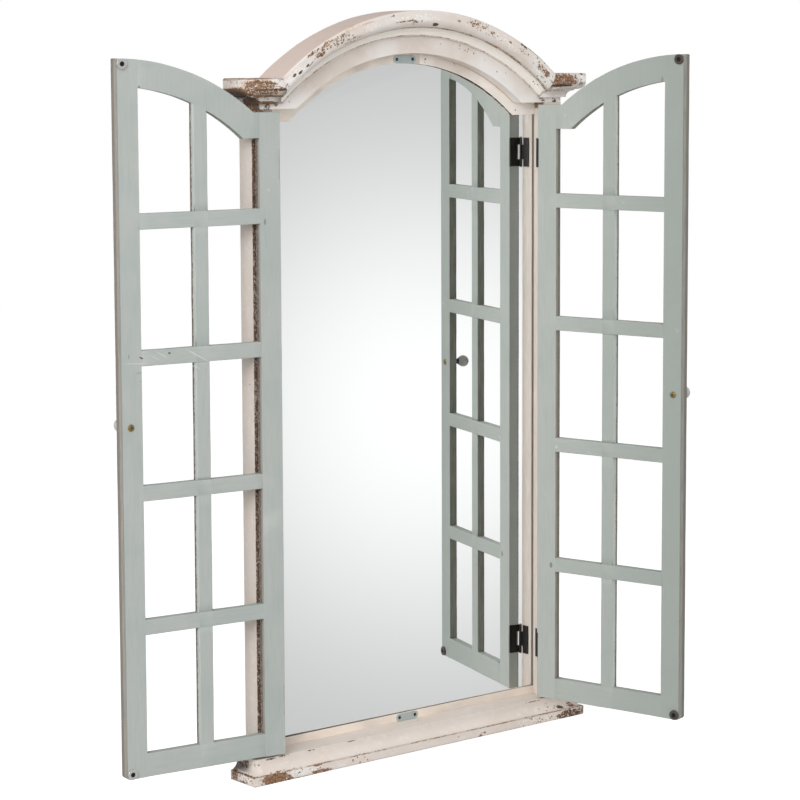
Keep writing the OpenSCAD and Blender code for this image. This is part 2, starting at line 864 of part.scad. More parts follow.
// Pear-shaped: a ball that tapers to the neck.
module knob(side)
    color("#b9bcb8")
        swung(side)
            on_knob_axis()
                rotate_extrude()
                    difference() {
                        union() {
                            intersection() {
                                translate([0, ball_from_face]) circle(knob_d / 2);
                                translate([0, neck_l]) square([knob_d, knob_d]);
                            }
                            polygon([[0, neck_l], [neck_end_r, neck_l],
                                [knob_d / 2 * cos(33), ball_from_face - knob_d / 2 * sin(33)],
                                [0, ball_from_face]]);
                        }
                        square([knob_screw_r, neck_l + knob_bore_l]);
                    }

module knob_neck(side)
    color(black)
        swung(side)
            on_knob_axis()
                rotate_extrude()
                    polygon([[knob_screw_r, 0], [neck_end_r + 1, 0], [neck_end_r + 1, 0.11 * neck_l],
                        [neck_end_r - 0.6, 0.27 * neck_l], [neck_end_r - 1.2, 0.42 * neck_l],
                        [neck_end_r - 1.2, 0.75 * neck_l], [neck_end_r - 0.7, 0.92 * neck_l],
                        [neck_end_r, neck_l], [knob_screw_r, neck_l]]);

module knob_screw(side) color("#b08d57") swung(side) closed_knob_screw();

module magnets(side)
    color(steel)
        swung(side)
            difference() {
                for (z = magnet_zs)
                    translate([magnet_u - hinge_edge_x, inner_y, z]) rotate([-90, 0, 0])
                        rotate_extrude()
                            difference() {
                                square([magnet_d / 2, magnet_t]);
                                corner_cut(magnet_d / 2, magnet_t, 1, 1, 0.5);
                            }
                closed_magnet_screws();
            }

module magnet_screws(side) color(black) swung(side) closed_magnet_screws();

// ---------- parts ----------

// Puts the origin midway between the hanging holes.
module hung() translate([0, 0, -hanger_z]) children();

hung() jamb(-1);  // left_jamb
hung() jamb(1);  // right_jamb
hung() head_board();
hung() crown_moulding();
hung() ear_moulding(-1);  // left_ear_moulding
hung() ear_moulding(1);  // right_ear_moulding
hung() head_stop_left();
hung() head_stop_right();
hung() bottom_stop();
hung() bottom_rail();
hung() sill_moulding();
hung() mirror_glass();
hung() backing_board();
hung() glazing_points();
hung() hanging_plates();
hung() hanging_plate_screws();
hung() strike_plate(1);  // top_strike_plate
hung() strike_plate(0);  // bottom_strike_plate
hung() strike_plate_screws();
hung() jamb_leaf(-1, hinge_zs[1]);  // left_top_jamb_leaf
hung() jamb_leaf(-1, hinge_zs[0]);  // left_bottom_jamb_leaf
hung() jamb_leaf(1, hinge_zs[1]);  // right_top_jamb_leaf
hung() jamb_leaf(1, hinge_zs[0]);  // right_bottom_jamb_leaf
hung() hinge_pins();
hung() jamb_hinge_screws();
hung() hinge_stile(-1);  // left_hinge_stile
hung() meeting_stile(-1);  // left_meeting_stile
hung() top_rail(-1);  // left_top_rail
hung() bottom_rail_of(-1);  // left_bottom_rail
hung() muntin(-1);  // left_muntin
hung() cross_bar(-1, 0);  // left_cross_bar_1
hung() cross_bar(-1, 1);  // left_cross_bar_2
hung() cross_bar(-1, 2);  // left_cross_bar_3
hung() cross_bar(-1, 3);  // left_cross_bar_4
hung() shutter_leaf(-1, hinge_zs[1]);  // left_top_shutter_leaf
hung() shutter_leaf(-1, hinge_zs[0]);  // left_bottom_shutter_leaf
hung() hinge_screws(-1);  // left_hinge_screws
hung() knob(-1);  // left_knob
hung() knob_neck(-1);  // left_knob_neck
hung() knob_screw(-1);  // left_knob_screw
hung() magnets(-1);  // left_magnets
hung() magnet_screws(-1);  // left_magnet_screws
hung() hinge_stile(1);  // right_hinge_stile
hung() meeting_stile(1);  // right_meeting_stile
hung() top_rail(1);  // right_top_rail
hung() bottom_rail_of(1);  // right_bottom_rail
hung() muntin(1);  // right_muntin
hung() cross_bar(1, 0);  // right_cross_bar_1
hung() cross_bar(1, 1);  // right_cross_bar_2
hung() cross_bar(1, 2);  // right_cross_bar_3
hung() cross_bar(1, 3);  // right_cross_bar_4
hung() shutter_leaf(1, hinge_zs[1]);  // right_top_shutter_leaf
hung() shutter_leaf(1, hinge_zs[0]);  // right_bottom_shutter_leaf
hung() hinge_screws(1);  // right_hinge_screws
hung() knob(1);  // right_knob
hung() knob_neck(1);  // right_knob_neck
hung() knob_screw(1);  // right_knob_screw
hung() magnets(1);  // right_magnets
hung() magnet_screws(1);  // right_magnet_screws
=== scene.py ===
"""Arched wall mirror in a worn cream frame, with two sage green shutters.

Lengths here are in millimetres unless a name says otherwise. They are turned into the
frame's metres by MM where a mesh or a light is placed, and back where a finish reads them.
"""

import json
import math

import bmesh
import bpy
from mathutils import Matrix, Vector, noise
from mathutils.bvhtree import BVHTree


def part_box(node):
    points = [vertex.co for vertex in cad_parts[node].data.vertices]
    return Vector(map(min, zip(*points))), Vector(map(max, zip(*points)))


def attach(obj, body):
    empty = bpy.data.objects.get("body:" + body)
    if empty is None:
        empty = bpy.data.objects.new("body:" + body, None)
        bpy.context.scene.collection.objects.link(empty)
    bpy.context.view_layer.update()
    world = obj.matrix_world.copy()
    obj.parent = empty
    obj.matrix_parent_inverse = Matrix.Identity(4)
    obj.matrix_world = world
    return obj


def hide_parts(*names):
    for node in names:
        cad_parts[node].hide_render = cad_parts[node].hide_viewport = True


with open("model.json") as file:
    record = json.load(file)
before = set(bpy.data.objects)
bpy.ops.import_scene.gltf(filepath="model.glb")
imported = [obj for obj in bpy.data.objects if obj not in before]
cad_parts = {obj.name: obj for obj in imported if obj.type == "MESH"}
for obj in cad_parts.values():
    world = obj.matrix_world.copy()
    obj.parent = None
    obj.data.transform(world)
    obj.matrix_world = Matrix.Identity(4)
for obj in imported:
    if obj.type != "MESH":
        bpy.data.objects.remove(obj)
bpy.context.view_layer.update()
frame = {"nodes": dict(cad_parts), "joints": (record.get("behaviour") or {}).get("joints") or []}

MM = 0.001
NODES = frame["nodes"]
JOINTS = {joint["child"]: joint for joint in frame["joints"]}
SIDES = {"left": -1, "right": 1}

# ---------------------------------------------------------------- places from the frame

FOOT_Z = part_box("bottom_rail")[0].z / MM          # the sill's underside
FACE_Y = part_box("head_board")[0].y / MM           # the jambs' front faces
HALF_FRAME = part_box("right_jamb")[1].x / MM
HALF_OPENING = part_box("bottom_stop")[1].x / MM
FASCIA_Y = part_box("sill_moulding")[0].y / MM      # the mouldings' foremost faces
EAR_LOW_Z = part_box("left_ear_moulding")[0].z / MM
EAR_TOP_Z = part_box("left_ear_moulding")[1].z / MM
CROWN_H = EAR_TOP_Z - EAR_LOW_Z
GLASS_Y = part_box("mirror_glass")[0].y / MM
STOP_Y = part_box("bottom_stop")[0].y / MM


def arch_from_crown():
    """Height of the arch's centre, and the crown's outer radius, from its highest and its
    widest points."""
    corners = [v.co / MM for v in NODES["crown_moulding"].data.vertices]
    top = max(c.z for c in corners)
    widest = max(c.x for c in corners)
    corner_z = max(c.z for c in corners if c.x > widest - 0.01)
    drop = top - corner_z
    radius = (widest**2 + drop**2) / (2 * drop)
    return top - radius, radius


ARCH_Z, CROWN_R = arch_from_crown()
CROWN_INNER_R = CROWN_R - CROWN_H


def closing(side):
    """The turn that takes a shutter from its open pose to its closed one."""
    joint = JOINTS[side + "_shutter"]
    pivot = Vector(joint["pos_m"])
    turn = Matrix.Rotation(math.radians(joint["range_deg"][0]), 4, Vector(joint["axis"]))
    return Matrix.Translation(pivot) @ turn @ Matrix.Translation(-pivot)


def closed_box(node, side):
    """Corners of a shutter's node in the closed pose, in millimetres."""
    turn = closing(side)
    corners = [turn @ v.co / MM for v in NODES[node].data.vertices]
    low = Vector([min(c[i] for c in corners) for i in range(3)])
    high = Vector([max(c[i] for c in corners) for i in range(3)])
    return low, high


HINGE_EDGE_X = -closed_box("left_hinge_stile", "left")[0].x
SHUTTER_W = closed_box("left_meeting_stile", "left")[1].x + HINGE_EDGE_X
SHUTTER_FACE_Y = closed_box("left_muntin", "left")[0].y
SHUTTER_T = closed_box("left_muntin", "left")[1].y - SHUTTER_FACE_Y
SHUTTER_FOOT_Z = closed_box("left_bottom_rail", "left")[0].z
SHUTTER_R = closed_box("left_meeting_stile", "left")[1].z - ARCH_Z


def rebate_depth():
    """Depth of the glazing rebates in the shutters' outer faces."""
    corners = [closing("left") @ v.co / MM for v in NODES["left_bottom_rail"].data.vertices]
    depths = sorted({round(c.y - SHUTTER_FACE_Y, 2) for c in corners})
    return depths[1]


PANE_REBATE_D = rebate_depth()


def pane_radius():
    """Radius of the top rail's inner edge, from the muntin's top corners."""
    corners = [closing("left") @ v.co / MM for v in NODES["left_muntin"].data.vertices]
    top = max(corners, key=lambda c: c.z)
    return math.hypot(top.x, top.z - ARCH_Z)


PANE_R = pane_radius()
UPRIGHT_LINES = [
    closed_box("left_" + name, "left")[i].x + HINGE_EDGE_X
    for name in ("hinge_stile", "muntin", "meeting_stile")
    for i in (0, 1)
]
LEVEL_NAMES = ("bottom_rail", "cross_bar_1", "cross_bar_2", "cross_bar_3", "cross_bar_4")
LEVEL_LINES = [closed_box("left_" + name, "left")[i].z for name in LEVEL_NAMES for i in (0, 1)]


# ---------------------------------------------------------------- finishes: small helpers


def colour(hex_code):
    """A written sRGB colour as the linear one that the shaders take."""
    parts = [int(hex_code[i : i + 2], 16) / 255 for i in (1, 3, 5)]
    linear = [p / 12.92 if p <= 0.04045 else ((p + 0.055) / 1.055) ** 2.4 for p in parts]
    return (*linear, 1.0)


class Field:
    """A number that varies over the surface. Arithmetic on it adds the nodes that work it out."""

    def __init__(self, tree, socket):
        self.tree = tree
        self.socket = socket

    def math(self, operation, *others):
        inputs = dict(enumerate((self, *others)))
        node = wired(self.tree, "ShaderNodeMath", inputs, operation=operation)
        return Field(self.tree, node.outputs[0])

    def __add__(self, other):
        return self.math("ADD", other)

    def __sub__(self, other):
        return self.math("SUBTRACT", other)

    def __mul__(self, other):
        return self.math("MULTIPLY", other)

    def __abs__(self):
        return self.math("ABSOLUTE")

    def under(self, other):
        return self.math("MINIMUM", other)

    def over(self, other):
        return self.math("MAXIMUM", other)

    def ramp(self, low, high, start=0.0, end=1.0):
        """start where the field is at low, end where it is at high, and smooth between."""
        if low > high:
            low, high, start, end = high, low, end, start
        inputs = {"Value": self, "From Min": low, "From Max": high, "To Min": start, "To Max": end}
        node = wired(self.tree, "ShaderNodeMapRange", inputs, interpolation_type="SMOOTHSTEP")
        return Field(self.tree, node.outputs["Result"])


def plug(tree, slot, value):
    """Links a field or a node's output to an input, or sets the input to a plain value."""
    source = value.socket if isinstance(value, Field) else value
    if isinstance(source, bpy.types.NodeSocket):
        tree.links.new(source, slot)
    else:
        slot.default_value = source


def wired(tree, kind, inputs=None, **settings):
    """A new node with its settings made, and its inputs plugged by name or number."""
    node = tree.nodes.new(kind)
    for name, value in settings.items():
        setattr(node, name, value)
    for name, value in (inputs or {}).items():
        plug(tree, node.inputs[name], value)
    return node


def nearest(field, places):
    """Distance from a field to the nearest of several values."""
    found = abs(field - places[0])
    for place in places[1:]:
        found = found.under(abs(field - place))
    return found


class Finish:
    """A material whose shader is Principled, with the fields that its pattern is drawn with."""

    def __init__(self, name, roughness=0.6, metallic=0.0, specular=0.5):
        self.material = bpy.data.materials.new(name)
        self.material.use_nodes = True
        self.tree = self.material.node_tree
        self.shader = self.tree.nodes["Principled BSDF"]
        self.shader.inputs["Roughness"].default_value = roughness
        self.shader.inputs["Metallic"].default_value = metallic
        self.shader.inputs["Specular IOR Level"].default_value = specular
        self.place = self.tree.nodes.new("ShaderNodeTexCoord").outputs["Object"]

    def mapped(self, location=(0, 0, 0), turn_z=0.0, scale=(1, 1, 1)):
        """A copy of the surface's coordinates, scaled, turned about Z and moved."""
        inputs = {
            "Vector": self.place, "Location": location, "Rotation": (0, 0, turn_z), "Scale": scale
        }
        return wired(self.tree, "ShaderNodeMapping", inputs).outputs["Vector"]

    def split(self, vector):
        node = wired(self.tree, "ShaderNodeSeparateXYZ", {"Vector": vector})
        return [Field(self.tree, node.outputs[axis]) for axis in "XYZ"]

    def join(self, x, y, z):
        return wired(self.tree, "ShaderNodeCombineXYZ", {0: x, 1: y, 2: z}).outputs["Vector"]

    def noise(self, vector, scale, detail=3.0, rough=0.5, distortion=0.0):
        inputs = {
            "Vector": vector, "Scale": scale, "Detail": detail, "Roughness": rough,
            "Distortion": distortion,
        }
        return Field(self.tree, wired(self.tree, "ShaderNodeTexNoise", inputs).outputs["Fac"])

    def cells(self, vector, scale):
        """Distance to the nearest of scattered points, and a random number for that point."""
        node = wired(self.tree, "ShaderNodeTexVoronoi", {"Vector": vector, "Scale": scale})
        chance = wired(self.tree, "ShaderNodeSeparateColor", {"Color": node.outputs["Color"]})
        return Field(self.tree, node.outputs["Distance"]), Field(self.tree, chance.outputs[0])

    def mix(self, share, under, over):
        """The colour under, covered by the colour over where share is 1."""
        inputs = {"Factor": share}
        node = wired(self.tree, "ShaderNodeMix", inputs, data_type="RGBA", clamp_factor=True)
        for name, value in (("A", under), ("B", over)):
            slot = next(s for s in node.inputs if s.name == name and s.type == "RGBA")
            plug(self.tree, slot, value)
        return next(s for s in node.outputs if s.type == "RGBA")

    def paint(self, shade):
        plug(self.tree, self.shader.inputs["Base Color"], shade)

    def bump(self, field, depth_mm, strength=1.0):
        inputs = {"Strength": strength, "Distance": depth_mm * MM, "Height": field}
        node = wired(self.tree, "ShaderNodeBump", inputs)
        plug(self.tree, self.shader.inputs["Normal"], node.outputs["Normal"])


# ---------------------------------------------------------------- finishes


def specks(finish, vector, spacing, share, size):
    """Small round pits, one to each cell of a scattered pattern. share may vary."""
    distance, chance = finish.cells(vector, 1 / (spacing * MM))
    there = (share - chance).ramp(0.0, 0.03)
    return distance.ramp(size, size * 0.6) * there


def patches(a, b, ovals):
    """How strongly a place lies in one of several soft ovals. Each oval is its middle's
    a and b, its half length, its half width, its strength and, for some, its slope."""
    found = None
    for middle_a, middle_b, half_a, half_b, strength, *slope in ovals:
        off_a = (a - middle_a) * (1 / half_a)
        off_b = (b - middle_b) * (1 / half_b)
        if slope:
            off_b = off_b - off_a * (slope[0] * half_a / half_b)
        oval = (off_a * off_a + off_b * off_b).ramp(1.3, 0.2, 0.0, strength)
        found = oval if found is None else found.over(oval)
    return found


def covered(pattern, level, soft):
    """Where an even pattern from 0 to 1 has the given share of its area covered."""
    return (pattern + level - 1.0).ramp(0.0, 2 * soft)


SAGE_TONES = {                                    # paint, brush marks, pale clouds
    "left": ("#aab1ac", "#9ca39e", "#b0b4b0"),
    "right": ("#a9afa9", "#979e98", "#aeb2ad"),
}
FREE_SIDE_PAINTED_SHADE = {"left": 0.0, "right": 0.8}       # how much darker the paint is made towards the free edge: painted shade for the light falling off
FREE_EDGE_TONES = {"left": ("#a9a39a", "#8c867e"), "right": ("#9a9890", "#7a766d")}
# grey-green of the sides that face the hinge: darker than the sage face, partly greyer paint and
# partly painted shade
SIDE_SHADE_TONES = ("#84867a", "#96988c")
SIDE_WEAR = {"left": 0.8, "right": 0.5}
# pale green, paler than the face, on the muntin's side that faces the free edge: painted light
MUNTIN_LIT_TONES = ("#c2c9c3", "#b4bcb6")
MUNTIN_LIT_D = 7.0      # how far the pale green painted light reaches back over its side from the inner face
GROOVE_D = 7.2            # from a free edge's outer arris to its groove
BARE_TONES = ("#463c33", "#75655a")
LINE_TONE = "#4d463c"
GROOVE_TONE = "#57514a"
RUBBED_TONE = "#c6ccc8"
# small dark nicks and pale scratches: distance from the hinge edge and height, half
# length, half width, strength and slope
NICKS = {
    "left": [(219.0, -260.9, 3.4, 1.4, 0.95, 0.4), (176.3, -257.0, 2.4, 1.6, 0.9),
             (237.6, -258.0, 0.9, 4.0, 0.5), (216.3, 103.7, 1.8, 2.4, 0.6),
             (25.0, -84.8, 2.0, 5.0, 0.5), (222.0, -281.0, 6.5, 0.8, 0.35),
             (217.0, -291.0, 6.5, 0.8, 0.3, -0.3), (190.0, 140.0, 14.0, 1.0, 0.5, 0.2),
             (120.0, 132.0, 5.0, 1.5, 0.5)],
    "right": [(25.2, -633.1, 3.0, 5.0, 0.6), (96.0, -700.0, 4.0, 6.0, 0.8),
              (214.0, 105.0, 2.0, 5.0, 0.4), (205.0, -160.0, 4.0, 2.0, 0.4)],
}
SCRATCHES = {
    "left": [(187.0, -259.0, 10.0, 0.9, 0.6, 0.55), (133.0, -263.0, 19.0, 1.0, 0.75, 0.55),
             (138.0, -277.0, 11.0, 0.9, 0.7, 0.55), (228.0, -268.0, 22.0, 0.9, 0.5, 0.05),
             (198.0, -262.0, 8.0, 0.8, 0.5, 0.5)],
    "right": [(60.0, -420.0, 3.0, 3.0, 0.4), (34.0, -450.0, 2.5, 3.0, 0.5)],
}


def sage_paint(side, run):
    """Matt green paint on a shutter's members. It is greyer and darker at their sides, partly
    as painted shade, and worn to brown at those that face the free edge. The muntin's side
    that faces the free edge is pale green near the inner face, as painted light, and the
    right shutter's paint darkens towards its free edge as painted shade. run is upright,
    level or arch."""
    finish = Finish(f"sage_{side}_{run}", roughness=0.62, specular=0.35)
    turn = closing(side)
    place = finish.mapped(turn.translation, turn.to_euler().z)
    x, y, z = finish.split(place)
    u = x * (-SIDES[side] / MM) + HINGE_EDGE_X
    w = y * (1 / MM) - SHUTTER_FACE_Y
    h = z * (1 / MM)
    along, across = (u, h) if run == "level" else (h, u)
    seed = 17.0 * SIDES[side] + {"upright": 0.0, "level": 5.0, "arch": 9.0}[run]
    grain = finish.join(along * (0.09 * MM) + seed, across * MM, w * MM)
    even = finish.join(along * MM + seed, across * MM, w * MM)

    brush = finish.noise(grain, 260, detail=4.0, rough=0.6)
    cloud = finish.noise(even, 14, detail=2.0)
    rub = finish.noise(even, 90, detail=5.0, rough=0.7)
    front, deep, pale = [colour(tone) for tone in SAGE_TONES[side]]
    shade = finish.mix(cloud.ramp(0.35, 0.65), front, pale)
    shade = finish.mix(brush.ramp(0.40, 0.75, 0.0, 0.30), shade, deep)
    # painted shade: the paint darkens across the shutter towards its free edge
    shade = finish.mix(u.ramp(0.0, SHUTTER_W, 0.0, FREE_SIDE_PAINTED_SHADE[side]), shade, deep)
    rubbed = rub.ramp(0.62, 0.72) * cloud.ramp(0.5, 0.62) * 0.5
    shade = finish.mix(rubbed, shade, colour(RUBBED_TONE))

    free_edge = u.ramp(SHUTTER_W - 1.6, SHUTTER_W - 0.8)
    off = u - HINGE_EDGE_X
    rise = (h - ARCH_Z).over(0.0)
    radius = (off * off + rise * rise).math("SQRT")
    at_edge = free_edge.over(u.ramp(2.0, 0.8)).over(nearest(radius, [SHUTTER_R]).ramp(1.6, 0.8))
    at_edge = at_edge.over(h.ramp(SHUTTER_FOOT_Z + 1.6, SHUTTER_FOOT_Z + 0.8))
    behind = w + at_edge * PANE_REBATE_D - PANE_REBATE_D        # from the side's outer arris
    ahead = w * -1 + SHUTTER_T                                  # from the inner face
    chips = finish.noise(even, 240, detail=5.0, rough=0.7).ramp(0.36, 0.64)
    dark = behind.ramp(1.5, 0.7) * behind.ramp(0.2, 0.5)
    if run != "level":
        sides = behind.under(ahead).ramp(0.3, 1.1) * u.ramp(0.8, 2.0)
        muntin = nearest(u, [UPRIGHT_LINES[3]]).ramp(2.2, 1.2)
        to_free = nearest(u, [UPRIGHT_LINES[1], UPRIGHT_LINES[3]]).ramp(2.2, 1.2).over(free_edge)
        # partly painted shade: the hinge-facing sides are made darker than the face
        grey = finish.mix(brush.ramp(0.35, 0.65), *map(colour, SIDE_SHADE_TONES))
        pale, dusky = [colour(tone) for tone in FREE_EDGE_TONES[side]]
        edge = finish.mix(behind.ramp(GROOVE_D - 0.6, GROOVE_D + 0.8), dusky, pale)
        edge = finish.mix(brush.ramp(0.45, 0.65, 0.0, 0.6), edge, dusky)
        # pale green painted light on the muntin's free-facing side, near the inner face
        green = finish.mix(brush.ramp(0.4, 0.7), *map(colour, MUNTIN_LIT_TONES))
        inner = ahead.ramp(MUNTIN_LIT_D + 0.6, MUNTIN_LIT_D - 0.6)
        edge = finish.mix(muntin * inner, edge, green)
        shade = finish.mix(sides, shade, finish.mix(to_free, grey, edge))
        worn = to_free * behind.ramp(7.5, 4.5) * (free_edge * -0.75 + 1.0) * SIDE_WEAR[side]
        bare = covered(chips, worn * sides, 0.15)
        shade = finish.mix(bare * 0.9, shade, finish.mix(chips, *map(colour, BARE_TONES)))
        arris = ahead.ramp(1.3, 0.4) * free_edge
        groove = abs(behind - GROOVE_D).ramp(1.0, 0.3) * free_edge
        shade = finish.mix(arris.over(groove) * 0.4, shade, colour(GROOVE_TONE))
        dark = dark.over(free_edge * dark * 1.6)
    line = covered(chips, dark * 1.1, 0.2)
    shade = finish.mix(line * 0.85, shade, colour(LINE_TONE))
    for mark, tone in ((NICKS, "#4c4a42"), (SCRATCHES, "#ccd1ce")):
        shade = finish.mix(patches(u, h, mark[side]), shade, colour(tone))
    finish.paint(shade)
    finish.bump(brush * 0.5 + cloud * 1.5 - line * 0.6, 0.2)
    return finish.material


def bare_wood(finish, grain):
    """Stained brown wood as it shows through worn paint."""
    streak = finish.noise(grain, 420, detail=4.0, rough=0.65)
    shade = finish.mix(streak.ramp(0.36, 0.64), colour("#5f4332"), colour("#a98463"))
    return shade, streak


class Wear:
    """Where a moulding or board is worn. stain, chalk, bare, char and pits are lists of
    ovals as in patches(): thin paint, whitish paint, bare wood, darkened wood and small
    dark pits. edges are the heights of its arrises, where the paint has rubbed off in
    thin broken lines, and edge_share is how much of them is bare. raw says how bare a
    place is without any oval, and only where the wear is let through. coats are pairs
    of a place and a colour laid over it: some are paint of another tone, and some are
    painted shade or painted light, as the note at each place says."""

    stain = chalk = bare = char = pits = edges = coats = ()
    edge_share = 0.5
    raw = only = None

    def __init__(self, **given):
        for name, value in given.items():
            setattr(self, name, value)


def cream_paint(name, directions, wear, tint, seed, streaky):
    """Chalky cream paint, worn through to brown wood. The directions turn the surface's
    X, Y and Z in millimetres into a piece's own along, across and depth. streaky is how
    much longer than wide the flakes and the brush marks are."""
    finish = Finish(name, roughness=0.68, specular=0.3)
    a, b, c = directions(*[axis * (1 / MM) for axis in finish.split(finish.place)])
    even = finish.join(a * MM + seed, b * MM, c * MM)
    grain = finish.join(a * (MM / streaky) + seed, b * MM, c * MM)
    wood, streak = bare_wood(finish, grain)

    cloud = finish.noise(even, 11, detail=2.0)
    fine = finish.noise(even, 430, detail=2.0, rough=0.6)
    flake = finish.noise(grain, 250, detail=4.0, rough=0.7, distortion=0.3)
    brushed = finish.noise(grain, 150, detail=3.0).ramp(0.5, 0.75, 0, 0.4)
    shade = finish.mix(cloud.ramp(0.35, 0.65), colour(tint), colour("#dcd0c6"))
    shade = finish.mix(brushed, shade, colour("#ebe6e0"))
    for place, tone in wear.coats:
        shade = finish.mix(place(a, b, c), shade, colour(tone))

    pattern = (flake * 0.5 + fine * 0.5).ramp(0.36, 0.64)
    level = wear.raw(a, b, c) if wear.raw else a * 0.0
    if wear.bare:
        level = level.over(patches(a, b, wear.bare))
    if wear.edges:
        broken = finish.noise(even, 22, detail=4.0, rough=0.6).ramp(0.3, 0.6)
        line = nearest(b, wear.edges)
        shade = finish.mix(line.ramp(1.3, 0.3, 0.0, 0.45), shade, colour("#ab9684"))
        level = level.over(line.ramp(0.8, 0.2) * broken * wear.edge_share)
    pitted = patches(a, b, wear.pits) if wear.pits else a * 0.0
    if wear.only:
        here = wear.only(a, b, c)
        level = level * here
        pitted = pitted * here
    if wear.stain:
        thin = covered(fine.ramp(0.3, 0.7), patches(a, b, wear.stain), 0.5)
        shade = finish.mix(thin * 0.75, shade, colour("#d0a482"))
    chalk = level.over(pitted * 0.7) * 1.4
    if wear.chalk:
        chalk = chalk.over(patches(a, b, wear.chalk))
    chalk = covered(fine.ramp(0.36, 0.64), chalk, 0.4)
    shade = finish.mix(chalk * 0.8, shade, colour("#f3efeb"))
    halo = covered(pattern, level * 1.15, 0.15)
    shade = finish.mix(halo * 0.3, shade, colour("#c9ab93"))
    bare = covered(pattern, level, 0.08)
    if wear.char:
        wood = finish.mix(patches(a, b, wear.char), wood, colour("#43342a"))
    shade = finish.mix(bare, shade, wood)
    share = cloud.ramp(0.55, 0.75, 0.0, 0.05).over(pitted)
    pit = specks(finish, even, 4.6, share, 0.36)
    shade = finish.mix(pit * 0.85, shade, colour("#5b4a3f"))
    finish.paint(shade)
    finish.bump(fine * 0.25 + cloud * 0.8 - bare * 1.0 + streak * bare * 0.5 - pit * 0.6, 0.35)
    return finish.material


def upright(x, y, z):
    return z, x, y


def round_arch(x, y, z):
    """Length along the crown's outer edge, radius and depth."""
    rise = z - ARCH_Z
    return x.math("ARCTAN2", rise) * CROWN_R, (x * x + rise * rise).math("SQRT"), y


def round_ends(base):
    """Length along a moulding that turns back at both ends, and height above its foot."""

    def directions(x, y, z):
        return x + (y - FASCIA_Y) * x.math("SIGN"), z - base, y

    return directions


def lying(x, y, z):
    return x, y, z


def plain_metal(name, shade, mottle, roughness, metallic, share=0.4):
    """Metal or lacquer with a faint mottle in its colour, over the given share of it."""
    finish = Finish(name, roughness=roughness, metallic=metallic)
    spots = finish.noise(finish.place, 900, detail=3.0, rough=0.6)
    finish.paint(finish.mix(spots.ramp(0.45, 0.75, 0.0, share), colour(shade), colour(mottle)))
    finish.bump(spots, 0.05, 0.4)
    return finish.material


def looking_glass():
    """Silvered glass, clean and flat."""
    finish = Finish("looking_glass", roughness=0.0, metallic=1.0)
    finish.paint(colour("#fbfcfc"))
    return finish.material


def hardboard():
    finish = Finish("hardboard", roughness=0.8, specular=0.2)
    fibre = finish.noise(finish.mapped(scale=(1, 1, 0.4)), 500, detail=5.0, rough=0.7)
    finish.paint(finish.mix(fibre.ramp(0.35, 0.65), colour("#6e4f36"), colour("#93714f")))
    finish.bump(fibre, 0.15)
    return finish.material


# ---------------------------------------------------------------- pieces

CUT = 22.0                # longest stretch of a member that stays straight
WOBBLE = 0.3              # how uneven hand-worked wood is
WOBBLE_SEED = 7           # without a seed of its own, the noise changes with the clock
SILL_FASCIA_H = 14.5      # height of the sill's fascia above its foot
SILVER_DEPTH = 1.8        # how far the silvering seems to lie behind the glass's front
SILVER_LEAN = 0.0042      # how far it comes forward for each metre to the right


def is_joint(edge, neighbours, probe):
    """Whether another member lies against one of the edge's two faces."""
    middle = (edge.verts[0].co + edge.verts[1].co) / 2
    first, second = edge.link_faces
    for face, other in ((first, second), (second, first)):
        point = middle + face.normal * probe - other.normal * probe
        for tree in neighbours:
            place, normal, _, _ = tree.find_nearest(point, 5 * probe)
            if place and (point - place).dot(normal) < 0:
                return True
    return False


def member_mesh(node, turn):
    """The node's shape as one welded mesh without spare edges."""
    mesh = bmesh.new()
    mesh.from_mesh(NODES[node].data)
    mesh.transform(turn)
    bmesh.ops.remove_doubles(mesh, verts=mesh.verts, dist=0.002 * MM)
    bmesh.ops.dissolve_limit(
        mesh, angle_limit=math.radians(0.2), verts=mesh.verts, edges=mesh.edges
    )
    mesh.normal_update()
    return mesh


def slice_mesh(mesh, axis, places):
    """Cuts a mesh by planes square to one axis, without parting it."""
    normal = Vector([1.0 if i == axis else 0.0 for i in range(3)])
    for place in places:
        geometry = mesh.verts[:] + mesh.edges[:] + mesh.faces[:]
        bmesh.ops.bisect_plane(
            mesh, geom=geometry, dist=1e-6, plane_co=normal * place, plane_no=normal
        )


def wooden(node, body, slot, material, side=None, arris=0.6, joints=(), against=()):
    """A wooden member: the node's own shape with eased arrises and hand-worked, slightly
    uneven faces. It stays inside the node's box. joints are the places along its length
    where other members meet it, and no arris is eased where one of them is against it."""
    turn = closing(side) if side else Matrix.Identity(4)
    mesh = member_mesh(node, turn)
    low = Vector([min(v.co[i] for v in mesh.verts) for i in range(3)])
    high = Vector([max(v.co[i] for v in mesh.verts) for i in range(3)])
    longest = max(range(3), key=lambda i: high[i] - low[i])
    slice_mesh(mesh, longest, [place * MM for place in joints])
    mesh.normal_update()
    sharp = [
        e
        for e in mesh.edges
        if len(e.link_faces) == 2
        and e.calc_face_angle(0.0) > math.radians(35)
        and e.calc_length() > 2.5 * MM
        and not is_joint(e, against, 0.4 * MM)
    ]
    bmesh.ops.bevel(
        mesh, geom=sharp, offset=arris * MM, offset_type="OFFSET", segments=3,
        profile=0.5, affect="EDGES", clamp_overlap=True,
    )
    steps = int((high[longest] - low[longest]) / (CUT * MM))
    cuts = [low[longest] + (high[longest] - low[longest]) * i / steps for i in range(1, steps)]
    slice_mesh(mesh, longest, cuts)
    for vert in mesh.verts:
        field = noise.noise_vector(vert.co * 23.0) + noise.noise_vector(vert.co * 80.0) * 0.5
        moved = vert.co + field * (WOBBLE * MM)
        vert.co = [min(max(moved[i], low[i]), high[i]) for i in range(3)]
    mesh.transform(turn.inverted())
    bmesh.ops.recalc_face_normals(mesh, faces=mesh.faces)
    for face in mesh.faces:
        face.smooth = True
    finished(mesh, node + "_wood", body, slot, material, node)


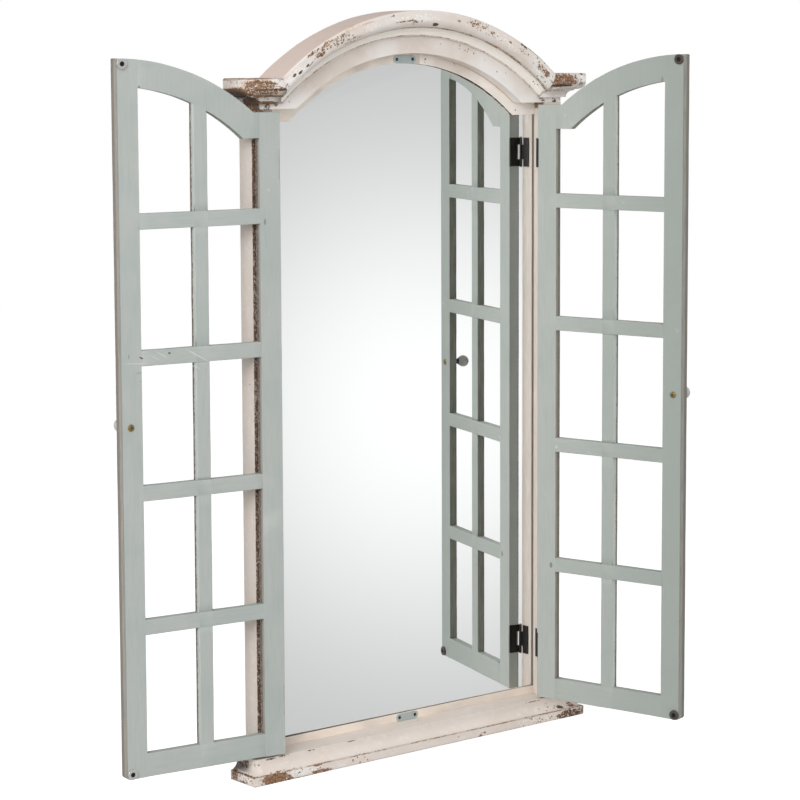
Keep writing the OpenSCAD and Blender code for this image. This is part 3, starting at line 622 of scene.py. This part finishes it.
def placed(name, data):
    """A new object in the scene."""
    thing = bpy.data.objects.new(name, data)
    bpy.context.scene.collection.objects.link(thing)
    return thing


def finished(mesh, name, body, slot, material, *nodes):
    """Makes the bmesh a piece that rides on its body and stands for its nodes."""
    data = bpy.data.meshes.new(name)
    mesh.to_mesh(data)
    mesh.free()
    data.materials.append(material)
    data.set_sharp_from_angle(angle=math.radians(50))
    piece = placed(name, data)
    weigh = piece.modifiers.new("even_normals", "WEIGHTED_NORMAL")
    weigh.keep_sharp = True
    weigh.weight = 80
    settled(piece, body, slot, *nodes)


def settled(piece, body, slot, *nodes):
    """Makes a piece's modifiers final, puts it on its body and hides its nodes. slot is not used."""
    graph = bpy.context.evaluated_depsgraph_get()
    baked = bpy.data.meshes.new_from_object(piece.evaluated_get(graph))
    piece.modifiers.clear()
    piece.data = baked
    baked.name = piece.name
    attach(piece, body)
    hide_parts(*nodes)


def finish_nodes(material, *nodes):
    """Gives nodes that keep their own mesh a better material."""
    for node in nodes:
        for slot in NODES[node].material_slots:
            slot.material = material


def make_frame():
    """The cream frame. Each wear list is in its piece's own directions."""
    fascia = CROWN_H / 3              # height of the crown's fascia above its foot

    def shadow_by_glass(a, b, c):
        """The jambs' sides in the opening, next to the glass, where a grey-brown strip is painted
        shadow of the gap at the glass's edge.
        """
        return c.ramp(GLASS_Y - 2.4, GLASS_Y - 1.8, 0.0, 0.9) * abs(b).ramp(
            HALF_OPENING + 1.5, HALF_OPENING + 0.5)

    def jamb_face(a, b, c):
        return c.ramp(FACE_Y + 1.6, FACE_Y + 0.7)

    def jamb_outer(a, b, c):
        """How worn the left jamb's face is: most at its outer arris."""
        return jamb_face(a, b, c) * b.ramp(-HALF_FRAME + 14.0, -HALF_FRAME + 4.0, 0.3, 0.75)

    def crown_front(a, b, c):
        """All of the crown but its outer edge, which hardly wears."""
        return b.ramp(CROWN_R - 6.0, CROWN_R - 8.0).over(c.ramp(FASCIA_Y + 2.4, FASCIA_Y + 1.4))

    def outside(a, b, c):
        """The outer edge of the crown and of the board behind it."""
        return b.ramp(CROWN_R - 8.0, CROWN_R - 6.0) * c.ramp(FASCIA_Y + 1.4, FASCIA_Y + 2.4)

    def painted_light_cove(a, b, c):
        """The crown's hollow, below its fascia, where a paler cream is painted light against the
        hollow's shade.
        """
        return b.ramp(CROWN_INNER_R + fascia, CROWN_INNER_R + fascia - 2.0)

    def stop_lip(a, b, c):
        """The head stop's lower edge."""
        return c.ramp(STOP_Y + 0.4, STOP_Y + 0.9, 0.0, 0.75)

    def low_lip_shadow(a, b, c):
        """The same on the bottom stop, whose depth is its second direction. A grey line is painted
        there as the shadow of the gap at the glass.
        """
        return b.ramp(STOP_Y + 1.6, STOP_Y + 2.2, 0.0, 0.8)

    def stain_and_shade_by_stop(a, b, c):
        """The head board's edge in front of the stop: an ochre stain, darker towards the right,
        where it is also painted shade near the right shutter.
        """
        inside = b.ramp(CROWN_INNER_R + 4.0, CROWN_INNER_R - 4.0)
        return c.ramp(STOP_Y - 4.0, STOP_Y - 1.0) * a.ramp(-60.0, 60.0, 0.3, 0.9) * inside

    crown = Wear(
        stain=[(-187, 388, 22, 7, 0.9), (-160, 384, 26, 9, 0.5), (-137, 391, 18, 4, 1.0),
               (-108, 390, 16, 2, 1.0), (106, 386, 28, 7, 0.9), (205, 384, 12, 5, 0.7)],
        chalk=[(-262, 381, 36, 12, 1.0), (-20, 384, 60, 8, 0.8), (170, 382, 40, 10, 0.6),
               (262, 376, 20, 16, 0.8), (-100, 382, 24, 8, 0.6)],
        bare=[(-232, 381.6, 5, 2.0, 1.0), (-222, 381, 11, 0.9, 0.9, 0.2), (-248, 381.4, 5, 2.0, 0.9),
              (-259, 384.4, 4, 2.4, 0.9), (-284, 385, 9, 6, 0.45), (-214, 391, 14, 3, 0.7),
              (-203, 383, 12, 5, 0.85), (-187, 390, 12, 4, 0.75), (-165, 385, 24, 8, 0.42),
              (-140, 376, 26, 4, 0.35), (-60, 390.4, 4, 2, 0.7), (-36, 380, 26, 1.2, 0.8),
              (-18, 378, 8, 2.5, 0.6), (23, 374.3, 7, 2.6, 1.0), (66, 384, 4, 1.8, 0.9),
              (106, 386, 28, 8, 0.42), (132, 382, 14, 6, 0.4), (174, 384, 3.5, 2, 0.9),
              (196, 391.6, 3.5, 2, 1.0), (204, 391, 5, 2, 1.0), (230, 393.6, 26, 1.2, 0.8),
              (205, 384, 12, 4, 0.4), (246, 384, 10, 6, 0.55), (261, 382, 11, 6, 0.75)],
        char=[(-240, 382, 30, 6, 0.7), (23, 374, 9, 5, 0.8), (215, 392, 40, 4, 0.8)],
        pits=[(-200, 385, 20, 8, 0.5), (-165, 384, 26, 10, 0.6), (-284, 384, 12, 8, 0.5),
              (-120, 378, 40, 8, 0.25), (-20, 380, 45, 6, 0.25), (106, 386, 30, 8, 0.5),
              (252, 382, 26, 14, 0.8), (268, 370, 12, 12, 0.8), (150, 378, 30, 6, 0.2)],
        edges=[CROWN_INNER_R + fascia, CROWN_INNER_R + 0.6], edge_share=0.6,
        # the cove's paler cream is painted light against the shade in the hollow
        only=crown_front, coats=[(outside, "#dccac0"), (painted_light_cove, "#f4ede4")],
    )
    board = Wear(
        pits=[(60, 351.6, 3, 3, 1.0), (87, 352, 4, 3, 0.8), (110, 353, 14, 7, 0.4),
              (127, 350, 10, 3, 0.7), (204, 346, 16, 6, 0.9), (180, 350, 40, 8, 0.12),
              (-237, 355, 3, 3, 1.0), (-140, 357, 16, 3, 0.6), (-275, 349, 3, 3, 1.0),
              (305, 361, 12, 6, 0.6), (321, 376, 10, 8, 0.6), (24, 351, 60, 8, 0.03)],
        bare=[(-327, 384, 9, 10, 1.1), (-312, 370, 10, 5, 0.7), (-290, 362, 12, 4, 0.7),
              (301, 363, 8, 4, 0.7), (323, 378, 3, 5, 1.0), (111, 359.7, 3, 1.5, 0.9)],
        char=[(-318, 376, 20, 14, 0.4), (323, 378, 6, 8, 1.0)],
        # ochre by the stop: partly stain, partly painted shade towards the right
        coats=[(stain_and_shade_by_stop, "#cda984"), (outside, "#dccac0")],
    )
    left_ear = Wear(
        bare=[(-292, 26, 32, 9, 0.85), (-310, 26, 14, 8, 0.8), (-355, 35.4, 120, 1.0, 0.9),
              (-278, 20, 44, 2.4, 1.0), (-296, 15, 36, 5, 0.8), (-284, 11, 40, 1.2, 1.0),
              (-288, 1.6, 20, 3.0, 1.1), (-342, 16, 34, 9, 1.1), (-318, 4, 20, 9, 1.1),
              (-268, 28.5, 3, 1.6, 1.0), (-262, 26, 9, 9, 0.3), (-300, 7, 16, 4, 0.5),
              (-350, 30, 22, 4, 0.3)],
        char=[(-340, 9, 34, 11, 0.85), (-316, 3, 16, 8, 0.9), (-278, 19.5, 46, 2.5, 0.5),
              (-284, 1.6, 20, 3, 0.5), (-268, 28.5, 5, 3, 0.9)],
        chalk=[(-268, 28, 14, 8, 1.0), (-338, 29, 18, 5, 1.0), (-278, 6, 20, 4, 0.7)],
        pits=[(-290, 10, 60, 9, 0.35), (-300, 26, 30, 9, 0.4)],
        stain=[(-296, 26, 44, 12, 1.4), (-290, 15, 50, 6, 1.2)],
    )
    right_ear = Wear(
        bare=[(268, 26, 36, 12, 1.0), (280, 26, 20, 9, 1.0), (266, 18, 30, 2.6, 1.1),
              (306, 21, 5, 4, 0.7), (270, 10.3, 34, 0.9, 0.6), (243, 2.7, 3, 2, 1.0),
              (308, 34.6, 3, 1.6, 1.0)],
        char=[(266, 18, 30, 3, 0.9), (308, 32, 8, 10, 0.6)],
        chalk=[(306, 28, 12, 10, 1.0), (240, 14, 12, 16, 1.0)],
        pits=[(270, 26, 40, 12, 0.6), (240, 14, 14, 14, 0.5)],
        stain=[(268, 25, 30, 11, 0.4)],
    )
    sill = Wear(
        bare=[(-279, 7.0, 29, 10, 1.15), (-254, 2.4, 8, 3, 0.9), (-197, 3.2, 20, 3.8, 1.0),
              (-236, 0.6, 66, 1.5, 1.0), (-204, 13.4, 9, 1.8, 0.9), (-346, 27, 17, 8, 0.7),
              (-290, 33.4, 12, 1.4, 0.8), (-268, 34.2, 12, 1.4, 0.7), (-219, 33.4, 7, 1.0, 1.0),
              (-363, 10, 9, 9, 0.95), (-344, 4, 12, 3, 0.6), (-146, 33.9, 9, 0.8, 1.0),
              (105, 2.4, 4.5, 2.8, 1.0), (113, 6.4, 3, 1.6, 0.9), (288, 6, 32, 9, 0.88),
              (279, 18, 7, 3, 0.9), (301, 18, 8, 4, 0.8), (230, 33.9, 22, 0.8, 0.9),
              (330, 12, 20, 14, 0.8), (-326, 14.5, 26, 1.2, 1.0)],
        char=[(288, 6, 34, 9, 0.6), (279, 18, 9, 5, 0.8), (-219, 34, 10, 3, 0.8),
              (-346, 28, 18, 8, 0.5), (-236, 0.6, 70, 2.0, 0.5), (-280, 34, 26, 3, 0.7)],
        chalk=[(-230, 9, 30, 7, 0.6), (-336, 8, 16, 8, 0.5), (250, 8, 60, 7, 0.4)],
        pits=[(-230, 10, 34, 7, 1.1), (-338, 9, 20, 9, 1.0), (-127, 8, 26, 7, 0.5),
              (212, 6, 40, 8, 0.8), (255, 20, 18, 8, 0.4), (-330, 28, 24, 8, 0.4),
              (100, 7, 60, 6, 0.12)],
        stain=[(212, 5, 36, 6, 1.0), (-127, 6, 26, 7, 0.8), (160, 3, 60, 3, 0.6)],
        edges=[SILL_FASCIA_H], edge_share=0.9,
    )
    left_jamb = Wear(
        raw=jamb_outer, bare=[(-760, -280, 90, 14, 0.85), (10, -280, 110, 14, 0.8)],
        pits=[(-400, -275, 500, 20, 0.35), (-850, -HALF_FRAME, 60, 30, 0.3)],
        char=[(-400, -288, 600, 16, 0.6)], only=jamb_face, coats=[(jamb_face, "#a3968c")],
    )
    # a grey-brown strip next to the glass: painted shadow of the gap at its edge
    right_jamb = Wear(bare=[(68, HALF_OPENING, 8, 2, 0.8)], coats=[(shadow_by_glass, "#83796d")])
    stop = Wear(
        raw=stop_lip,
        pits=[(114, 331, 4, 4, 0.9), (284, 328, 4, 3, 0.9), (38, 324, 3, 9, 0.4)],
        bare=[(48, 324, 2, 10, 0.45)],
    )
    # a grey line where the bottom stop meets the glass: painted shadow of the gap there
    low_stop = Wear(coats=[(low_lip_shadow, "#8d867c")])
    finishes = {
        "left_jamb": (upright, left_jamb, "#dad0c8", 3.0, 1.3),
        "right_jamb": (upright, right_jamb, "#d7cdc2", 8.0, 5.0),
        # the head board's cream is paler than the crown's: painted light against the shade under the
        # crown
        "head_board": (round_arch, board, "#ede8e4", 4.0, 2.0),
        "crown_moulding": (round_arch, crown, "#e1dad4", 1.0, 1.6),
        "left_ear_moulding": (round_ends(EAR_LOW_Z), left_ear, "#e1dad4", 6.0, 3.0),
        "right_ear_moulding": (round_ends(EAR_LOW_Z), right_ear, "#e1dad4", 9.0, 1.3),
        # the head stops' near-white cream is painted light against the shade under the arch
        "head_stop_left": (round_arch, stop, "#fdf3e6", 5.0, 4.0),
        "head_stop_right": (round_arch, stop, "#fbf4ec", 5.5, 4.0),
        "bottom_stop": (lying, low_stop, "#f5e8d9", 5.2, 5.0),
        "bottom_rail": (lying, Wear(), "#ddd3cc", 7.0, 5.0),
        "sill_moulding": (round_ends(FOOT_Z), sill, "#dfd5cd", 2.0, 1.8),
    }
    for node, (directions, wear, tint, seed, streaky) in finishes.items():
        material = cream_paint("cream_" + node, directions, wear, tint, seed, streaky)
        wooden(node, "frame", "cream_paint", material)


def make_shutter(side):
    body = side + "_shutter"
    runs = {run: sage_paint(side, run) for run in ("upright", "level", "arch")}
    members = {"hinge_stile": "upright", "meeting_stile": "upright", "muntin": "upright"}
    members |= {name: "level" for name in LEVEL_NAMES}
    members["top_rail"] = "arch"
    trees = {}
    for name in members:
        mesh = member_mesh(f"{side}_{name}", closing(side))
        trees[name] = BVHTree.FromBMesh(mesh)
        mesh.free()
    rail_low, _ = closed_box(side + "_top_rail", side)
    inner_x = HINGE_EDGE_X - UPRIGHT_LINES[4]
    level_joints = LEVEL_LINES + [rail_low.z, ARCH_Z + math.sqrt(PANE_R**2 - inner_x**2)]
    upright_joints = [SIDES[side] * (HINGE_EDGE_X - u) for u in UPRIGHT_LINES]
    for name, run in members.items():
        wooden(
            f"{side}_{name}", body, "sage_paint", runs[run], side, arris=1.5,
            joints=level_joints if run == "upright" else upright_joints,
            against=[tree for other, tree in trees.items() if other != name],
        )


def make_glass():
    """The silvering, about 2 mm behind the glass's front, as the glass makes it look. The
    glass lies a little nearer the front at its right side than at its left."""
    mesh = bmesh.new()
    mesh.from_mesh(NODES["mirror_glass"].data)
    bmesh.ops.remove_doubles(mesh, verts=mesh.verts, dist=0.002 * MM)
    for vert in mesh.verts:
        silver_y = (GLASS_Y + SILVER_DEPTH) * MM - SILVER_LEAN * vert.co.x
        vert.co.y = max(vert.co.y, silver_y)
    finished(mesh, "silvered_glass", "frame", "mirror", looking_glass(), "mirror_glass")


# ---------------------------------------------------------------- screws


def shells(mesh):
    """The vertices of each separate solid in a bmesh, always in the same order."""
    left = dict.fromkeys(mesh.verts)
    while left:
        shell = [left.popitem()[0]]
        for vert in shell:
            joined = [edge.other_vert(vert) for edge in vert.link_edges]
            fresh = [other for other in joined if other in left]
            for other in fresh:
                del left[other]
            shell += fresh
        yield shell


def screws_in(node, side=None):
    """Where each of a node's screws has its head and which way that faces, and the sizes
    of the last one: they are all alike."""
    turn = closing(side) if side else Matrix.Identity(4)
    back = turn.inverted()
    mesh = member_mesh(node, turn)
    places = []
    for shell in shells(mesh):
        low = Vector([min(v.co[i] for v in shell) for i in range(3)])
        high = Vector([max(v.co[i] for v in shell) for i in range(3)])
        axis = max(range(3), key=lambda i: high[i] - low[i])
        middle = (low + high) / 2

        def radius(vert):
            off = vert.co - middle
            off[axis] = 0.0
            return off.length

        widest = max(radius(v) for v in shell)
        rim = [v for v in shell if radius(v) > widest * 0.99]
        away = 1.0 if sum(v.co[axis] for v in rim) / len(rim) > middle[axis] else -1.0
        place = middle.copy()
        place[axis] = max((v.co[axis] for v in rim), key=lambda along: along * away)
        facing = Vector([away if i == axis else 0.0 for i in range(3)])
        tip, top = (low, high) if away > 0 else (high, low)
        shank = max(radius(v) for v in shell if (v.co[axis] - middle[axis]) * away < 0)
        sizes = {
            "Head diameter": 2 * widest,
            "Shank diameter": 2 * shank,
            "Length": abs(place[axis] - tip[axis]),
            "Dome": max(abs(top[axis] - place[axis]), 0.2 * MM),
        }
        places.append((back @ place, back.to_3x3() @ facing))
    mesh.free()
    return places, sizes


def screw_tree():
    """Geometry Nodes: a screw with a cross recess on each point, facing its own way."""
    tree = bpy.data.node_groups.new("cross_head_screws", "GeometryNodeTree")
    sockets = tree.interface
    sockets.new_socket("Points", in_out="INPUT", socket_type="NodeSocketGeometry")
    for name in ("Head diameter", "Shank diameter", "Length", "Dome"):
        sockets.new_socket(name, in_out="INPUT", socket_type="NodeSocketFloat")
    sockets.new_socket("Finish", in_out="INPUT", socket_type="NodeSocketMaterial")
    sockets.new_socket("Screws", in_out="OUTPUT", socket_type="NodeSocketGeometry")
    given = tree.nodes.new("NodeGroupInput").outputs

    def calc(operation, first, second):
        inputs = {0: first, 1: second}
        return wired(tree, "ShaderNodeMath", inputs, operation=operation).outputs[0]

    def vector(x, y, z):
        return wired(tree, "ShaderNodeCombineXYZ", {0: x, 1: y, 2: z}).outputs[0]

    def box(x, y, z):
        return wired(tree, "GeometryNodeMeshCube", {"Size": vector(x, y, z)}).outputs["Mesh"]

    def moved(shape, place, size=(1, 1, 1)):
        inputs = {"Geometry": shape, "Translation": place, "Scale": size}
        return wired(tree, "GeometryNodeTransform", inputs).outputs["Geometry"]

    def boolean(operation, first, *others):
        node = wired(tree, "GeometryNodeMeshBoolean", operation=operation)
        tree.links.new(first, node.inputs["Mesh 1" if operation == "DIFFERENCE" else "Mesh 2"])
        for other in others:
            tree.links.new(other, node.inputs["Mesh 2"])
        return node.outputs["Mesh"]

    width = given["Head diameter"]
    head = calc("MULTIPLY", width, 0.5)
    shank = calc("MULTIPLY", given["Shank diameter"], 0.5)
    sink = calc("SUBTRACT", head, shank)
    cone = wired(
        tree, "GeometryNodeMeshCone",
        {"Vertices": 24, "Radius Top": head, "Radius Bottom": shank, "Depth": sink},
    ).outputs["Mesh"]
    cone = moved(cone, vector(0.0, 0.0, calc("MULTIPLY", sink, -1.0)))
    ball = wired(
        tree, "GeometryNodeMeshUVSphere", {"Segments": 24, "Rings": 12, "Radius": head}
    ).outputs["Mesh"]
    dome = moved(ball, (0, 0, 0), vector(0.999, 0.999, calc("DIVIDE", given["Dome"], head)))
    rod = wired(
        tree, "GeometryNodeMeshCylinder",
        {"Vertices": 16, "Radius": calc("MULTIPLY", shank, 0.98), "Depth": given["Length"]},
    ).outputs["Mesh"]
    rod = moved(rod, vector(0.0, 0.0, calc("MULTIPLY", given["Length"], -0.5)))
    long_cut = calc("MULTIPLY", width, 0.58)
    short_cut = calc("MULTIPLY", width, 0.13)
    deep = calc("MULTIPLY", width, 0.34)
    cross = [
        moved(box(x, y, deep), vector(0.0, 0.0, given["Dome"]))
        for x, y in ((long_cut, short_cut), (short_cut, long_cut))
    ]
    screw = boolean("DIFFERENCE", boolean("UNION", cone, dome, rod), boolean("UNION", *cross))

    facing = wired(
        tree, "GeometryNodeInputNamedAttribute", {"Name": "facing"}, data_type="FLOAT_VECTOR"
    )
    aimed = wired(
        tree, "FunctionNodeAlignRotationToVector", {"Vector": facing.outputs["Attribute"]}, axis="Z"
    )
    index = wired(tree, "GeometryNodeInputIndex").outputs[0]
    twist = wired(tree, "FunctionNodeAxisAngleToRotation", {"Angle": calc("MULTIPLY", index, 2.4)})
    turned = wired(
        tree, "FunctionNodeRotateRotation",
        {"Rotation": aimed.outputs[0], "Rotate By": twist.outputs[0]}, rotation_space="LOCAL",
    )
    spread = wired(
        tree, "GeometryNodeInstanceOnPoints",
        {"Points": given["Points"], "Instance": screw, "Rotation": turned.outputs[0]},
    )
    real = wired(tree, "GeometryNodeRealizeInstances", {"Geometry": spread.outputs[0]})
    done = wired(
        tree, "GeometryNodeSetMaterial", {"Geometry": real.outputs[0], "Material": given["Finish"]}
    )
    wired(tree, "NodeGroupOutput", {"Screws": done.outputs[0]})
    return tree


def make_screws(tree, node, body, slot, material, side=None):
    """One piece with all the screws of a node."""
    places, sizes = screws_in(node, side)
    data = bpy.data.meshes.new(node)
    data.from_pydata([place for place, _ in places], [], [])
    facing = data.attributes.new("facing", "FLOAT_VECTOR", "POINT")
    facing.data.foreach_set("vector", [number for _, way in places for number in way])
    piece = placed(node + "_cross_heads", data)
    modifier = piece.modifiers.new("screws", "NODES")
    modifier.node_group = tree
    names = {s.name: s.identifier for s in tree.interface.items_tree if s.in_out == "INPUT"}
    for name, value in sizes.items():
        modifier[names[name]] = value
    modifier[names["Finish"]] = material
    settled(piece, body, slot, node)


def make_fittings():
    black = plain_metal("black_lacquer", "#17140f", "#2a241c", 0.38, 0.0, 0.15)
    pins = plain_metal("rubbed_pins", "#857a5e", "#3a332a", 0.5, 0.1)
    dark = plain_metal("dark_screws", "#0e0d0c", "#241f1a", 0.45, 0.3, 0.15)
    plates = plain_metal("satin_plate", "#b5c0c1", "#8d989b", 0.42, 0.35)
    steel = plain_metal("zinc_steel", "#9da0a2", "#777a7c", 0.4, 0.9)
    brass = plain_metal("dull_brass", "#8c7c50", "#2c2617", 0.45, 0.5, 0.6)
    rings = {
        "left": plain_metal("nickel", "#e6e4e0", "#a5a19c", 0.22, 1.0, 0.3),
        "right": plain_metal("tarnished_nickel", "#645d55", "#3a352f", 0.3, 0.8, 0.6),
    }
    ball = plain_metal("grey_knob", "#c6c2bd", "#b4b0aa", 0.3, 0.0)
    finish_nodes(pins, "hinge_pins")
    finish_nodes(plates, "top_strike_plate", "bottom_strike_plate")
    finish_nodes(steel, "glazing_points", "hanging_plates")
    finish_nodes(hardboard(), "backing_board")
    screws = screw_tree()
    make_screws(screws, "jamb_hinge_screws", "frame", "black_hinge", black)
    make_screws(screws, "strike_plate_screws", "frame", "dark_screw", dark)
    make_screws(screws, "hanging_plate_screws", "frame", "plain_steel", steel)
    for side in SIDES:
        body = side + "_shutter"
        make_screws(screws, side + "_hinge_screws", body, "black_hinge", black, side)
        make_screws(screws, side + "_magnet_screws", body, "dark_screw", dark, side)
        make_screws(screws, side + "_knob_screw", body, "brass_screw", brass, side)
        finish_nodes(rings[side], side + "_magnets")
        finish_nodes(ball, side + "_knob")
        finish_nodes(black, side + "_knob_neck")
        for end in ("_top", "_bottom"):
            finish_nodes(black, side + end + "_jamb_leaf", side + end + "_shutter_leaf")


# ---------------------------------------------------------------- studio

GLOW_LOW = 0.579          # brightness of the studio in the mirror, away from the glow
GLOW_RISE = 0.477         # how much brighter the middle of the glow is
GLOW_RADIUS = 8.8         # degrees
GLOW_HEADING = 39.4       # degrees from the viewer's side of the wall, towards the right
GLOW_PITCH = -8.0         # degrees
BOUNCED_GLOW = 0.45       # share of it that reaches painted wood by way of the mirror
FILL = 0.69               # soft light from in front, from all sides
LEFT_FILL = 0.35          # how much stronger it is from the left than from straight ahead
FLOOR_DROP = 260.0        # the mirror hangs this far above the floor
FLOOR_RADIUS = 9.0        # metres
FLOOR_TONE = 0.86
FLOOR_LIFT = 0.66         # what the floor adds of its own, so that it shows as white
LAMPS = {                 # place and width in metres, and watts
    "key": ((-3.7, -2.0, 1.4), 2.6, 104.0),
    "top": ((-0.2, -1.7, 3.4), 2.2, 14.0),
    "right_fill": ((3.4, -1.6, 0.8), 2.6, 25.0),
}


def studio_world():
    """White behind the object, soft light from in front, none from the wall's side, and
    a glow where the mirror looks."""
    world = bpy.data.worlds.new("studio")
    bpy.context.scene.world = world
    world.use_nodes = True
    tree = world.node_tree
    tree.nodes.clear()
    path = wired(tree, "ShaderNodeLightPath").outputs
    heading = wired(tree, "ShaderNodeTexCoord").outputs["Generated"]
    split = wired(tree, "ShaderNodeSeparateXYZ", {0: heading}).outputs
    x, y = Field(tree, split["X"]), Field(tree, split["Y"])
    fill = y.ramp(-0.1, 0.35, 1.0, 0.0) * (x * -LEFT_FILL + 1.0) * FILL

    a, p = math.radians(GLOW_HEADING), math.radians(GLOW_PITCH)
    centre = (math.sin(a) * math.cos(p), -math.cos(a) * math.cos(p), math.sin(p))
    dot = wired(tree, "ShaderNodeVectorMath", {0: heading, 1: centre}, operation="DOT_PRODUCT")
    angle = Field(tree, dot.outputs["Value"]).math("ARCCOSINE").under(math.radians(GLOW_RADIUS))
    wave = (angle * (180.0 / GLOW_RADIUS)).math("COSINE") * 0.5 + 0.5
    bounced = Field(tree, path["Diffuse Depth"]).ramp(0.4, 0.6, 1.0, BOUNCED_GLOW)
    seen = (wave * GLOW_RISE + GLOW_LOW) * bounced

    strength = mixed(tree, path["Is Glossy Ray"], fill, seen)
    strength = mixed(tree, path["Is Camera Ray"], strength, 1.0)
    back = wired(tree, "ShaderNodeBackground", {"Color": (1, 1, 1, 1), "Strength": strength})
    wired(tree, "ShaderNodeOutputWorld", {"Surface": back.outputs[0]})


def mixed(tree, share, under, over):
    """A number that is under where share is 0 and over where it is 1."""
    node = wired(tree, "ShaderNodeMix", {0: share, 2: under, 3: over}, data_type="FLOAT")
    return Field(tree, node.outputs[0])


def softbox(name, place, size, watts):
    """A round soft lamp, aimed at the mirror."""
    light = bpy.data.lights.new(name, "AREA")
    light.shape = "DISK"
    light.size = size
    light.energy = watts
    lamp = placed(name, light)
    lamp.location = place
    lamp.rotation_euler = (-Vector(place)).to_track_quat("-Z", "Y").to_euler()


def floor_material():
    """Pale floor that keeps the shadow, and that the mirror looks through to the studio."""
    material = bpy.data.materials.new("pale_floor")
    material.use_nodes = True
    tree = material.node_tree
    tree.nodes.clear()
    path = wired(tree, "ShaderNodeLightPath").outputs
    matt = wired(tree, "ShaderNodeBsdfDiffuse", {"Color": (FLOOR_TONE, FLOOR_TONE, FLOOR_TONE, 1)})
    lift = Field(tree, path["Is Camera Ray"]) * FLOOR_LIFT
    glow = wired(tree, "ShaderNodeEmission", {"Strength": lift})
    both = wired(tree, "ShaderNodeAddShader", {0: matt.outputs[0], 1: glow.outputs[0]})
    clear = wired(tree, "ShaderNodeBsdfTransparent")
    choose = wired(
        tree, "ShaderNodeMixShader",
        {0: path["Is Glossy Ray"], 1: both.outputs[0], 2: clear.outputs[0]},
    )
    wired(tree, "ShaderNodeOutputMaterial", {"Surface": choose.outputs[0]})
    return material


def make_floor():
    mesh = bmesh.new()
    bmesh.ops.create_circle(mesh, cap_ends=True, segments=96, radius=FLOOR_RADIUS)
    data = bpy.data.meshes.new("floor")
    mesh.to_mesh(data)
    mesh.free()
    data.materials.append(floor_material())
    floor = placed("floor", data)
    floor.location = (0, 0, (FOOT_Z - FLOOR_DROP) * MM)


CAMERA_PLACE = (-2417.4, -2955.5, 166.6)
CAMERA_HEADING = 38.726   # degrees to the right of straight at the wall
CAMERA_DIP = 6.381        # degrees below level
CAMERA_ROLL = -0.288
CAMERA_SHIFT = (0.0298, -0.0868)
FOCAL_SHARE = 3.265       # focal length over the picture's width
SENSOR_MM = 36.0


def make_camera():
    data = bpy.data.cameras.new("camera")
    data.sensor_width = SENSOR_MM
    data.lens = FOCAL_SHARE * SENSOR_MM
    data.shift_x, data.shift_y = CAMERA_SHIFT
    data.clip_end = 60.0
    camera = placed("camera", data)
    a, p, r = (math.radians(v) for v in (CAMERA_HEADING, CAMERA_DIP, CAMERA_ROLL))
    forward = Vector((math.sin(a) * math.cos(p), math.cos(a) * math.cos(p), -math.sin(p)))
    level = Vector((math.cos(a), -math.sin(a), 0.0))
    up = level.cross(forward)
    right = level * math.cos(r) + up * math.sin(r)
    up = up * math.cos(r) - level * math.sin(r)
    turn = Matrix((right, up, -forward)).transposed().to_4x4()
    camera.matrix_world = Matrix.Translation(Vector(CAMERA_PLACE) * MM) @ turn
    bpy.context.scene.camera = camera


noise.seed_set(WOBBLE_SEED)
make_camera()
make_frame()
for shutter_side in SIDES:
    make_shutter(shutter_side)
make_glass()
make_fittings()
make_floor()
studio_world()
for lamp_name, lamp in LAMPS.items():
    softbox(lamp_name, *lamp)
bpy.context.scene.view_settings.view_transform = "Standard"
